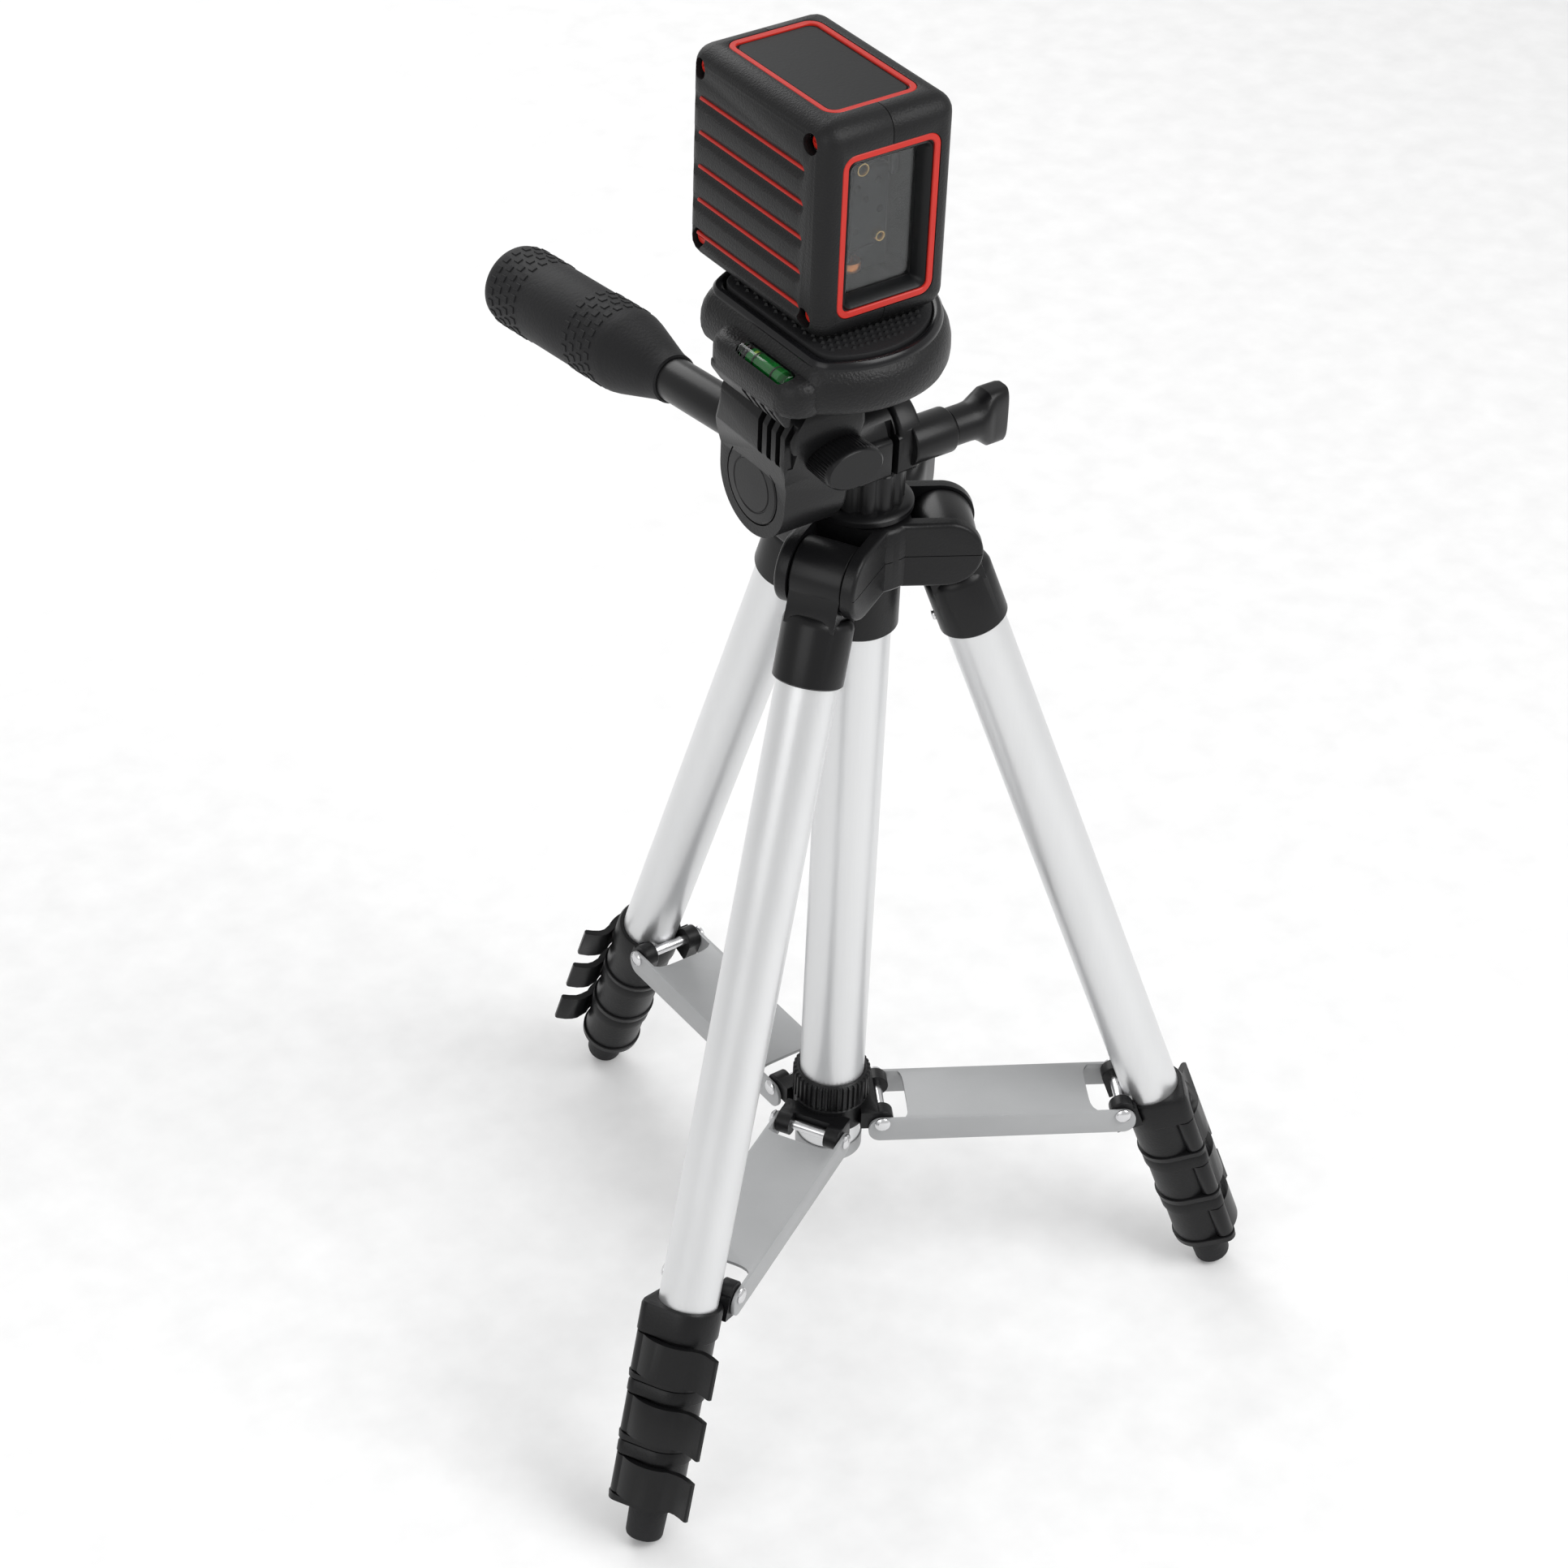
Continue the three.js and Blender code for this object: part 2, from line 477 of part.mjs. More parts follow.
function makeShells() {
  const hollow = cut(roundedBlock(0, LASER_ROUND), roundedBlock(SHELL, LASER_ROUND - SHELL));
  const grooves = [-2, -1, 0, 1, 2].flatMap((step) => [LEFT - 1.4, RIGHT + 1.4].map((x) => {
    const z = LASER_BOTTOM + LASER_TALL / 2 + step * GROOVE_PITCH;
    return rod(V(x, FRONT + 12, z), V(x, REAR + 1, z), GROOVE_RADIUS, GROOVE_RADIUS, 8);
  }));
  const bore = rod(V(SCREW_X, SCREW_Y, 380), V(SCREW_X, SCREW_Y, 392), SCREW_RADIUS + GAP);
  const panelHole = slab(roundedRect(LASER_X - PANEL.half, PANEL.front, LASER_X + PANEL.half, PANEL.rear, 4),
    TOP - SHELL - 1, TOP + 1);
  const body = cut(hollow, ...grooves, bore, panelHole,
    opening(WINDOW.half, WINDOW.bottom, WINDOW.top, FRONT - 1, FRONT + SHELL + 1),
    opening(COVER.half, COVER.bottom, COVER.top, REAR - SHELL - 1, REAR + 1),
    box(V(RIGHT - SHELL - 1, LASER_Y + 6, SWITCH_Z - 5), V(RIGHT + 1, LASER_Y + 14, SWITCH_Z + 1)));
  const seam = box(V(LASER_X - GAP / 2, -60, 300), V(LASER_X + GAP / 2, 80, 500));
  const halves = cut(body, seam);
  return [halves.intersect(box(V(-100, -60, 300), V(LASER_X, 80, 500))),
    halves.intersect(box(V(LASER_X, -60, 300), V(100, 80, 500)))];
}

const [leftShell, rightShell] = makeShells();
place(assembly, 'laser_left_housing', leftShell, CHARCOAL);
place(assembly, 'laser_right_housing', rightShell, CHARCOAL);
place(assembly, 'laser_top_panel', slab(roundedRect(LASER_X - PANEL.half + GAP, PANEL.front + GAP,
  LASER_X + PANEL.half - GAP, PANEL.rear - GAP, 4), TOP - SHELL, TOP - 0.2), BLACK);
place(assembly, 'laser_window_glass',
  opening(WINDOW.half - GAP, WINDOW.bottom + GAP, WINDOW.top - GAP, FRONT + 0.8, FRONT + SHELL), GLASS);
place(assembly, 'laser_battery_cover',
  opening(COVER.half - GAP, COVER.bottom + GAP, COVER.top - GAP, REAR - SHELL, REAR), CHARCOAL);
[['left', -8], ['right', 8]].forEach(([side, offset]) => {
  const at = (z) => V(LASER_X + offset, REAR - SHELL - 8.2, z);
  place(assembly, `laser_battery_${side}`, rod(at(LASER_BOTTOM + 6), at(LASER_BOTTOM + 56), 7.2), SILVER);
});
place(assembly, 'laser_lock_switch', box(V(RIGHT - SHELL, LASER_Y + 6.3, SWITCH_Z - 4.7),
  V(RIGHT + 0.6, LASER_Y + 13.7, SWITCH_Z - 1.2)), RUBBER);
const pendulumAt = (x) => V(LASER_X + x, PENDULUM_Y, PENDULUM_Z);
place(assembly, 'laser_pendulum', join(
  box(V(LASER_X - 8, PENDULUM_Y - 5, LASER_BOTTOM + 14), V(LASER_X + 8, PENDULUM_Y + 5, PENDULUM_Z + 4)),
  rod(V(LASER_X, FRONT + 6, PENDULUM_Z - 12), V(LASER_X, PENDULUM_Y, PENDULUM_Z - 12), 5, 5, 12),
  rod(pendulumAt(-19.5), pendulumAt(19.5), 1.5, 1.5, 10)), BRASS);

// ---- origin under the middle of the box ---------------------------------------------
assembly.updateMatrixWorld(true);
const bounds = new THREE.Box3().setFromObject(assembly);
const middle = bounds.getCenter(V(0, 0, 0));
const group = new THREE.Group();
assembly.position.set(-middle.x, -middle.y, -bounds.min.z);
group.add(assembly);

export default group;
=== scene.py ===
"""Looks for a cross-line laser level on a small tripod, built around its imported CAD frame.

Lengths are in millimetres, measured from the tripod's column at floor level, until put() turns
them into the frame's metres.
"""
import json
import math

import bpy
from mathutils import Matrix, Vector


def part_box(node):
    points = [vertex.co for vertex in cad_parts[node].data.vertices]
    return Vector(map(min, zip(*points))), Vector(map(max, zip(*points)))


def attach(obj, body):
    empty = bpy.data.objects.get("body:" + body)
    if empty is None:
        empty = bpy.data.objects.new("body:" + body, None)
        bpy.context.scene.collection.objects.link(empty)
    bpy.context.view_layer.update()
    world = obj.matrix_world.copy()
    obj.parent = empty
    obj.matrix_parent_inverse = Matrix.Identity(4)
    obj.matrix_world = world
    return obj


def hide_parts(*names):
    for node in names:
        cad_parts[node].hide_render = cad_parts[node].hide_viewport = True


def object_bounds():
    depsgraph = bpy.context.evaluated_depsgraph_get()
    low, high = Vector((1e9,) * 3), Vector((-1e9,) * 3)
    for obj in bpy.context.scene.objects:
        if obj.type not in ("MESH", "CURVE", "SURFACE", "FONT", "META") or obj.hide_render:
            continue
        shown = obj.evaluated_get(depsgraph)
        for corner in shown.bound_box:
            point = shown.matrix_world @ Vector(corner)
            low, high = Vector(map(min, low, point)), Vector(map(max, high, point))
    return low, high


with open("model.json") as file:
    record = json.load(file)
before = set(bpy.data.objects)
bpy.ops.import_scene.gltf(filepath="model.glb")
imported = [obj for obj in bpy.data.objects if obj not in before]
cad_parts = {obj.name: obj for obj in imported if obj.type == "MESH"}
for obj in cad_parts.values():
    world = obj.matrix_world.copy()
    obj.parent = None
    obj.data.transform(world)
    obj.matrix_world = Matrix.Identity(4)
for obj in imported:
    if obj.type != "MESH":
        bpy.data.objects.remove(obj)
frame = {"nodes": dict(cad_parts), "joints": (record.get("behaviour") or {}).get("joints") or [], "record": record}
CAD_BOX = [list(corner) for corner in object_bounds()]

MM = 0.001
TUBE_LOW, TUBE_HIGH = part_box("guide_tube")
AXIS = Vector(((TUBE_LOW[0] + TUBE_HIGH[0]) / 2, (TUBE_LOW[1] + TUBE_HIGH[1]) / 2, 0))
FLOOR = CAD_BOX[0][2]

BODY_OF = {node: body for body, nodes in frame["record"]["behaviour"]["bodies"].items() for node in nodes}


def millimetres(node):
    """A CAD node's lowest and highest corner, in millimetres from the column."""
    low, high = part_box(node)
    return (Vector(low) - AXIS) / MM, (Vector(high) - AXIS) / MM


# ---- materials ----
def material(name, color, roughness, metallic=0.0, grain=0.0, grain_scale=900.0, streak=None, coat=0.0,
             variation=0.12, specular=0.5):
    """A Principled material whose roughness wanders a little, with a fine grain in its surface."""
    mat = bpy.data.materials.new(name)
    mat.use_nodes = True
    tree = mat.node_tree
    shader = tree.nodes["Principled BSDF"]
    shader.inputs["Metallic"].default_value = metallic
    shader.inputs["Specular IOR Level"].default_value = specular
    shader.inputs["Coat Weight"].default_value = coat
    shader.inputs["Coat Roughness"].default_value = 0.15
    coords = tree.nodes.new("ShaderNodeTexCoord")
    spread = tree.nodes.new("ShaderNodeMapping")
    spread.inputs["Scale"].default_value = streak or (1, 1, 1)
    tree.links.new(coords.outputs["Object"], spread.inputs["Vector"])
    cloud = tree.nodes.new("ShaderNodeTexNoise")
    cloud.inputs["Scale"].default_value = 60
    cloud.inputs["Detail"].default_value = 4
    tree.links.new(spread.outputs["Vector"], cloud.inputs["Vector"])
    rough = tree.nodes.new("ShaderNodeMapRange")
    rough.inputs["To Min"].default_value = max(0.02, roughness * (1 - variation))
    rough.inputs["To Max"].default_value = min(1.0, roughness * (1 + variation))
    tree.links.new(cloud.outputs["Fac"], rough.inputs["Value"])
    tree.links.new(rough.outputs["Result"], shader.inputs["Roughness"])
    tint = tree.nodes.new("ShaderNodeMix")
    tint.data_type = "RGBA"
    tint.inputs["A"].default_value = (*[c * 0.92 for c in color], 1)
    tint.inputs["B"].default_value = (*[min(1, c * 1.08) for c in color], 1)
    tree.links.new(cloud.outputs["Fac"], tint.inputs["Factor"])
    tree.links.new(tint.outputs["Result"], shader.inputs["Base Color"])
    if grain:
        fine = tree.nodes.new("ShaderNodeTexNoise")
        fine.inputs["Scale"].default_value = grain_scale
        fine.inputs["Detail"].default_value = 3
        tree.links.new(spread.outputs["Vector"], fine.inputs["Vector"])
        bump = tree.nodes.new("ShaderNodeBump")
        bump.inputs["Strength"].default_value = grain
        bump.inputs["Distance"].default_value = 0.0003
        tree.links.new(fine.outputs["Fac"], bump.inputs["Height"])
        tree.links.new(bump.outputs["Normal"], shader.inputs["Normal"])
    return mat


def clear(name, color, roughness=0.03, ior=1.45):
    """A see-through material."""
    mat = material(name, color, roughness)
    shader = mat.node_tree.nodes["Principled BSDF"]
    shader.inputs["Transmission Weight"].default_value = 1.0
    shader.inputs["Specular IOR Level"].default_value = 0.25
    shader.inputs["IOR"].default_value = ior
    return mat


BLACK = material("black_moulding", (0.006, 0.006, 0.0065), 0.36, grain=0.22, grain_scale=1400, specular=0.26)
SATIN = material("satin_black", (0.006, 0.006, 0.0065), 0.32, grain=0.08, grain_scale=1400, specular=0.26)
PEBBLE = material("pebbled_black", (0.007, 0.007, 0.0075), 0.38, grain=0.8, grain_scale=1300, specular=0.28)
CASE = material("soft_black_case", (0.0075, 0.0075, 0.008), 0.45, grain=0.5, grain_scale=1700, specular=0.25)
GLOSS = material("gloss_black", (0.006, 0.006, 0.007), 0.24, specular=0.3)
PANEL = material("panel_black", (0.006, 0.0065, 0.007), 0.36, grain=0.1, specular=0.22)
TUBE = material("satin_aluminium", (0.74, 0.745, 0.75), 0.34, metallic=0.85, grain=0.1, streak=(1, 1, 0.05))
RUBBER = material("black_rubber", (0.011, 0.011, 0.012), 0.6, grain=0.4, grain_scale=900, specular=0.25)
GREY = material("grey_paint", (0.37, 0.375, 0.38), 0.42, metallic=0.1, grain=0.12)
STEEL = material("plated_steel", (0.7, 0.7, 0.71), 0.25, metallic=1.0, grain=0.1, streak=(1, 1, 0.1))
BRASS = material("turned_brass", (0.62, 0.42, 0.16), 0.25, metallic=1.0)
COPPER = material("copper_ring", (0.8, 0.3, 0.1), 0.3, metallic=1.0)
BOARD = material("dark_circuit_board", (0.016, 0.017, 0.019), 0.55, grain=0.5, grain_scale=300, specular=0.15)
RED = material("red_trim", (0.5, 0.017, 0.009), 0.36, specular=0.35)
# near-black material for the sheet behind the laser's optics: painted shade for the dark inside of the laser
PAINTED_SHADE = material("painted_recess_shade", (0.008, 0.008, 0.009), 0.6)
GREEN = material("green_liquid", (0.004, 0.2, 0.025), 0.12, coat=0.3)
LIQUID_LINE = material("vial_line", (0.01, 0.02, 0.01), 0.4)
BUBBLE = material("vial_bubble", (0.4, 0.6, 0.08), 0.1, coat=0.5)
WINDOW = clear("clear_window", (0.8, 0.83, 0.84))


# ---- meshes ----
def finish_piece(obj, body, mat, nodes=(), smooth=35):
    """Smooth shading between sharp edges, a material, a body to ride on and the nodes it stands for."""
    mesh = obj.data
    mesh.polygons.foreach_set("use_smooth", [True] * len(mesh.polygons))
    mesh.set_sharp_from_angle(angle=math.radians(smooth))
    mesh.materials.clear()
    mesh.materials.append(mat)
    if nodes:
        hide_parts(*nodes)
    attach(obj, body)
    return obj


def put(name, verts, faces, place=Matrix.Identity(4)):
    """A mesh object from points in millimetres, given in a frame of its own."""
    mesh = bpy.data.meshes.new(name)
    mesh.from_pydata([(place @ Vector(v)) * MM + AXIS for v in verts], [], faces)
    mesh.update()
    obj = bpy.data.objects.new(name, mesh)
    bpy.context.scene.collection.objects.link(obj)
    return obj


def applied(obj):
    """obj with its modifiers made into its mesh."""
    bpy.context.view_layer.update()
    graph = bpy.context.evaluated_depsgraph_get()
    mesh = bpy.data.meshes.new_from_object(obj.evaluated_get(graph))
    obj.modifiers.clear()
    old = obj.data
    obj.data = mesh
    bpy.data.meshes.remove(old)
    return obj


def round_edges(obj, width, segments=2, angle=32):
    """Rounds edges sharper than angle."""
    bevel = obj.modifiers.new("rounded", "BEVEL")
    bevel.width = width * MM
    bevel.segments = segments
    bevel.limit_method = "ANGLE"
    bevel.angle_limit = math.radians(angle)
    bevel.harden_normals = False
    return applied(obj)


def combine(obj, others, how="DIFFERENCE"):
    """Cuts obj by the others, or joins them to it, and removes the others."""
    for other in others:
        step = obj.modifiers.new("cut", "BOOLEAN")
        step.operation = how
        step.solver = "EXACT"
        step.object = other
        applied(obj)
        bpy.data.objects.remove(other)
    return obj


def loops(name, rings, place=Matrix.Identity(4), closed=False):
    """Rings of equal length skinned one to the next, with flat ends unless closed on itself."""
    count = len(rings[0])
    verts = [p for ring in rings for p in ring]
    faces = []
    last = len(rings) if closed else len(rings) - 1
    for i in range(last):
        a, b = i * count, ((i + 1) % len(rings)) * count
        faces += [(a + j, a + (j + 1) % count, b + (j + 1) % count, b + j) for j in range(count)]
    if not closed:
        faces.append(tuple(reversed(range(count))))
        faces.append(tuple((len(rings) - 1) * count + j for j in range(count)))
    return put(name, verts, faces, place)


def ring_of(radius, z, sides):
    """A level ring of points round the Z axis."""
    return [(radius * math.cos(2 * math.pi * i / sides), radius * math.sin(2 * math.pi * i / sides), z)
            for i in range(sides)]


def lathe(name, profile, place=Matrix.Identity(4), sides=64, closed=False):
    """A profile of (radius, height) turned about the local Z axis. A closed profile makes a ring."""
    return loops(name, [ring_of(r, z, sides) for r, z in profile], place, closed)


def rounded_profile(radius, z0, z1, edge, steps=4):
    """The side of a cylinder with its two edges rounded."""
    arc = [math.pi / 2 * i / steps for i in range(steps + 1)]
    low = [(radius - edge + edge * math.sin(a), z0 + edge - edge * math.cos(a)) for a in arc]
    high = [(radius - edge + edge * math.cos(a), z1 - edge + edge * math.sin(a)) for a in arc]
    return low + high


def pin(name, start, end, radius, edge=0.3, sides=48, place=Matrix.Identity(4)):
    """A round bar with rounded ends between two points, given in a frame of their own."""
    start, end = place @ Vector(start), place @ Vector(end)
    turn = (end - start).to_track_quat("Z", "Y").to_matrix().to_4x4()
    length = (end - start).length
    return lathe(name, rounded_profile(radius, 0, length, edge), Matrix.Translation(start) @ turn, sides)


def outline_rect(x0, y0, x1, y1, r, steps=6):
    """A rounded rectangle as points, anticlockwise."""
    corners = ((x1 - r, y0 + r, -90), (x1 - r, y1 - r, 0), (x0 + r, y1 - r, 90), (x0 + r, y0 + r, 180))
    points = []
    for cx, cy, start in corners:
        for i in range(steps + 1):
            a = math.radians(start + 90 * i / steps)
            points.append((cx + r * math.cos(a), cy + r * math.sin(a)))
    return points


def slab(name, outline, z0, z1, place=Matrix.Identity(4)):
    """An outline raised from one height to another."""
    return loops(name, [[(x, y, z) for x, y in outline] for z in (z0, z1)], place)


def brick(name, low, high, place=Matrix.Identity(4)):
    """A plain box between its lowest and its highest corner."""
    (x0, y0, z0), (x1, y1, z1) = low, high
    return slab(name, [(x0, y0), (x1, y0), (x1, y1), (x0, y1)], z0, z1, place)


def inset(outline, amount):
    """A closed outline moved inward along its own normals."""
    moved = []
    for i, (x, y) in enumerate(outline):
        px, py = outline[i - 1]
        nx, ny = outline[(i + 1) % len(outline)]
        before = Vector((x - px, y - py)).normalized()
        after = Vector((nx - x, ny - y)).normalized()
        normal = Vector((-(before.y + after.y), before.x + after.x)).normalized()
        stretch = max(0.5, normal.dot(Vector((-before.y, before.x))))
        moved.append((x + normal.x * amount / stretch, y + normal.y * amount / stretch))
    return moved


def contour(name, outline, profile, place=Matrix.Identity(4), closed=False):
    """An outline stacked at each (inset, height) of a profile."""
    return loops(name, [[(x, y, z) for x, y in inset(outline, d)] for d, z in profile], place, closed)


def frame_at(origin, x, y, z):
    """The matrix of a frame with that origin and those three axes."""
    place = Matrix((x, y, z)).transposed().to_4x4()
    return Matrix.Translation(Vector(origin)) @ place


FACING_FRONT = ((1, 0, 0), (0, 0, 1), (0, -1, 0))  # local X right, local Y up, local Z towards -Y
UPRIGHT = frame_at((0, 0, 0), *FACING_FRONT)


def from_cad(node, width, mat, segments=3):
    """A CAD node's own shape with its edges rounded."""
    source = frame["nodes"][node]
    obj = bpy.data.objects.new(f"{node}_shape", source.data.copy())
    bpy.context.scene.collection.objects.link(obj)
    obj.matrix_world = source.matrix_world
    round_edges(obj, width, segments)
    return finish_piece(obj, BODY_OF[node], mat, [node])


# ---- laser ----
LOW, _ = millimetres("laser_left_housing")
_, HIGH = millimetres("laser_right_housing")
MID = (LOW + HIGH) / 2
FRONT, REAR, LEFT, RIGHT = LOW.y, HIGH.y, LOW.x, HIGH.x
BOTTOM, TOP = LOW.z, HIGH.z
WALL = 2.6
RING_HALF = 16.4
RING_LOW, RING_HIGH = BOTTOM + 6.4, TOP - 9
TOP_RING = (FRONT + 8, REAR - 6.5)
SEAT_DEPTH = 0.7
GROOVE_PITCH = 10.4
GROOVES = [MID.z - 24.9 + GROOVE_PITCH * step for step in range(5)]
GROOVE_RADIUS = 3.2
JOINT_LINE_HALF = 0.12


def laser_block(name, shrink, edge):
    """The laser's whole block with rounded edges, made smaller on every side by shrink."""
    block = brick(name, (LEFT + shrink, FRONT + shrink, BOTTOM + shrink),
                  (RIGHT - shrink, REAR - shrink, TOP - shrink))
    return round_edges(block, edge, 6)


def capsule_groove(name, x, z):
    """A groove cutter with a round front end that runs out at the rear."""
    radius, start = GROOVE_RADIUS, FRONT + 8.6
    arc = [math.pi / 2 * i / 6 for i in range(7)]
    profile = [(max(0.01, radius * math.sin(a)), radius * (1 - math.cos(a))) for a in arc]
    profile.append((radius, REAR - start + 2))
    return lathe(name, profile, frame_at((x, start, z), (1, 0, 0), (0, 0, -1), (0, 1, 0)), 32)


def screw_spots():
    """Where each side's four screws stand, in Y and Z."""
    return [(y, z) for y in (FRONT + 7.2, REAR - 5.5) for z in (BOTTOM + 6.2, TOP - 6.3)]


def make_case():
    """The hollow case with its grooves, screw wells and openings."""
    case = laser_block("laser_case", 0, 6.0)
    cutters = [laser_block("hollow", WALL, 3.6)]
    for x in (LEFT - 1.5, RIGHT + 1.5):
        cutters += [capsule_groove("groove", x, z) for z in GROOVES]
    for y, z in screw_spots():
        cutters.append(pin("well", (LEFT - 1, y, z), (LEFT + 3.4, y, z), 3.0, 0.1, 32))
        cutters.append(pin("well", (RIGHT + 1, y, z), (RIGHT - 3.4, y, z), 3.0, 0.1, 32))
    front = frame_at((MID.x, FRONT, 0), *FACING_FRONT)
    window = outline_rect(-RING_HALF + 2.2, RING_LOW + 2.2, RING_HALF - 2.2, RING_HIGH - 2.2, 3)
    cutters.append(slab("window", window, -4, 2, front))
    ring = outline_rect(-RING_HALF, RING_LOW, RING_HALF, RING_HIGH, 4.2)
    cutters.append(slab("ring_seat", ring, -SEAT_DEPTH, 2, front))
    cover = outline_rect(-16, BOTTOM + 8, 16, TOP - 8, 4)
    cutters.append(slab("cover", cover, FRONT - REAR - 2, FRONT - REAR + 4, front))
    top = outline_rect(MID.x - 15.6, TOP_RING[0], MID.x + 15.6, TOP_RING[1], 4.5)
    cutters.append(slab("top_seat", top, TOP - SEAT_DEPTH, TOP + 2))
    inner = outline_rect(MID.x - 13.4, TOP_RING[0] + 2.2, MID.x + 13.4, TOP_RING[1] - 2.2, 3)
    cutters.append(slab("top_hole", inner, TOP - 4, TOP + 2))
    combine(case, cutters)
    return case


def split_case(case):
    """The two half shells, with a fine joint line between them."""
    for side, name in ((1, "laser_left_housing"), (-1, "laser_right_housing")):
        half = bpy.data.objects.new(f"{name}_shell", case.data.copy())
        bpy.context.scene.collection.objects.link(half)
        far = MID.x + side * 60
        near = MID.x - side * JOINT_LINE_HALF
        low = (min(near, far), FRONT - 9, BOTTOM - 9)
        high = (max(near, far), REAR + 9, TOP + 9)
        combine(half, [brick("away", low, high)])
        round_edges(half, 0.35, 2, 40)
        finish_piece(half, "laser", CASE, [name], 40)
    bpy.data.objects.remove(case)


def trim_ring(name, outline, width, low, high, place):
    """A flat raised frame that follows an outline."""
    edge = 0.25
    profile = [(0, low), (0, high - edge), (edge, high), (width - edge, high), (width, high - edge),
               (width, low)]
    ring = contour(name, outline, profile, place, closed=True)
    return finish_piece(ring, "laser", RED)


def laser_trim():
    """The two red rings, the red lines in the grooves and the red screws."""
    front = frame_at((MID.x, FRONT, 0), *FACING_FRONT)
    ring = outline_rect(-RING_HALF + 0.1, RING_LOW + 0.1, RING_HALF - 0.1, RING_HIGH - 0.1, 4.1)
    trim_ring("red_front_ring", ring, 2.0, -SEAT_DEPTH, 0.0, front)
    ring = outline_rect(MID.x - 15.5, TOP_RING[0] + 0.1, MID.x + 15.5, TOP_RING[1] - 0.1, 4.4)
    trim_ring("red_top_ring", ring, 1.9, TOP - SEAT_DEPTH, TOP - 0.02, Matrix.Identity(4))
    # the lock switch takes the place of the lowest line on the right
    for side, x, first in (("left", LEFT + 1.75, 0), ("right", RIGHT - 1.75, 1)):
        for i in range(first, len(GROOVES)):
            ends = [(x, y, GROOVES[i]) for y in (FRONT + 10.6, REAR - 4.4)]
            finish_piece(pin(f"red_{side}_line_{i + 1}", *ends, 0.62, 0.5, 12), "laser", RED)
    for side, x, sign in (("left", LEFT + 2.4, 1), ("right", RIGHT - 2.4, -1)):
        for i, (y, z) in enumerate(screw_spots()):
            head = pin(f"red_{side}_screw_{i + 1}", (x, y, z), (x + sign * 0.8, y, z), 2.1, 0.25, 24)
            combine(head, [brick("slot", (x - 0.35, y - 1.3, z - 0.3), (x + 0.35, y + 1.3, z + 0.3))])
            finish_piece(head, "laser", RED)


def laser_panel():
    """The dark panel inside the top ring."""
    outline = outline_rect(MID.x - 13.3, TOP_RING[0] + 2.3, MID.x + 13.3, TOP_RING[1] - 2.3, 3)
    panel = contour("top_label_panel", outline, [(0, TOP - 2), (0, TOP - 0.8), (0.3, TOP - 0.5)])
    finish_piece(panel, "laser", PANEL, ["laser_top_panel"])


def laser_window():
    """A tapered dark frame set back from the red ring, with the pane at its back and a near-black sheet of painted
    shade behind that.
    """
    front = frame_at((MID.x, FRONT, 0), *FACING_FRONT)
    outer = outline_rect(-RING_HALF + 2.3, RING_LOW + 2.3, RING_HALF - 2.3, RING_HIGH - 2.3, 3)
    profile = [(0, -5.2), (0, -0.6), (0.4, -0.3), (0.9, -0.7), (2.6, -4.2), (2.6, -5.2)]
    bezel = contour("window_bezel", outer, profile, front, closed=True)
    finish_piece(bezel, "laser", PANEL)
    pane = contour("window_pane", inset(outer, 2.3), [(0, -5.0), (0, -4.4), (0.1, -4.3)], front)
    finish_piece(pane, "laser", WINDOW, ["laser_window_glass"])
    # a near-black sheet far behind the pane: painted shade standing in for the dark inside of the laser
    back = slab("painted_shade_sheet", inset(outer, 1.0), -18.6, -18, front)
    finish_piece(back, "laser", PAINTED_SHADE)


def laser_inside():
    """The pendulum's carrier with its small lenses, the coil below it and the board behind."""
    def at(x, z, depth):
        """A point given from the middle, the lowest edge and the front of the laser."""
        return (MID.x + x, FRONT + depth, BOTTOM + z)

    board = brick("laser_board", at(-9, 12, 12.8), at(9, 50, 13.6))
    finish_piece(board, "pendulum", BOARD)
    carrier = brick("optics_carrier", at(-5.5, 20, 10.4), at(7.5, 44, 13.6))
    round_edges(carrier, 1.0, 3)
    wells = ((-3.6, 39), (3.4, 40), (-0.6, 35), (4.4, 31), (-3.4, 26))
    combine(carrier, [pin("well", at(x, z, 8), at(x, z, 12.4), 1.1, 0.2, 24) for x, z in wells])
    finish_piece(carrier, "pendulum", BOARD, ["laser_pendulum"])
    block = brick("dark_block", at(6.6, 41, 9.0), at(9.4, 49.5, 11.2))
    round_edges(block, 0.6, 2)
    finish_piece(block, "pendulum", SATIN)
    for i, (x, z, radius) in enumerate(((-3.2, 45.4, 2.1), (3.8, 23.4, 1.7))):
        facing = frame_at(at(x, z, 9.4), *FACING_FRONT)
        profile = [(radius - 0.7, -3.6), (radius, -3.6), (radius, 0.4), (radius - 0.2, 0.7),
                   (radius - 0.5, 0.7), (radius - 0.7, 0.4)]
        ring = lathe(f"lens_ring_{i + 1}", profile, facing, 40, closed=True)
        finish_piece(ring, "pendulum", BRASS)
        lens = lathe(f"lens_{i + 1}", [(radius - 0.75, -1), (radius - 0.75, -0.4), (0.3, 0)], facing, 40)
        finish_piece(lens, "pendulum", GLOSS)
    coil_place = Matrix.Translation(at(-4.8, 14.5, 11.6))
    profile = [(2.2, 0), (3.5, 0), (3.7, 0.4), (3.7, 2.4), (3.5, 2.8), (2.2, 2.8)]
    coil = lathe("copper_coil", profile, coil_place, 56, closed=True)
    finish_piece(coil, "pendulum", COPPER)


split_case(make_case())
laser_trim()
laser_panel()
laser_window()
laser_inside()

# ---- joints ----
JOINT = {joint["name"]: joint for joint in frame["joints"]}
LEGS = (1, 2, 3)


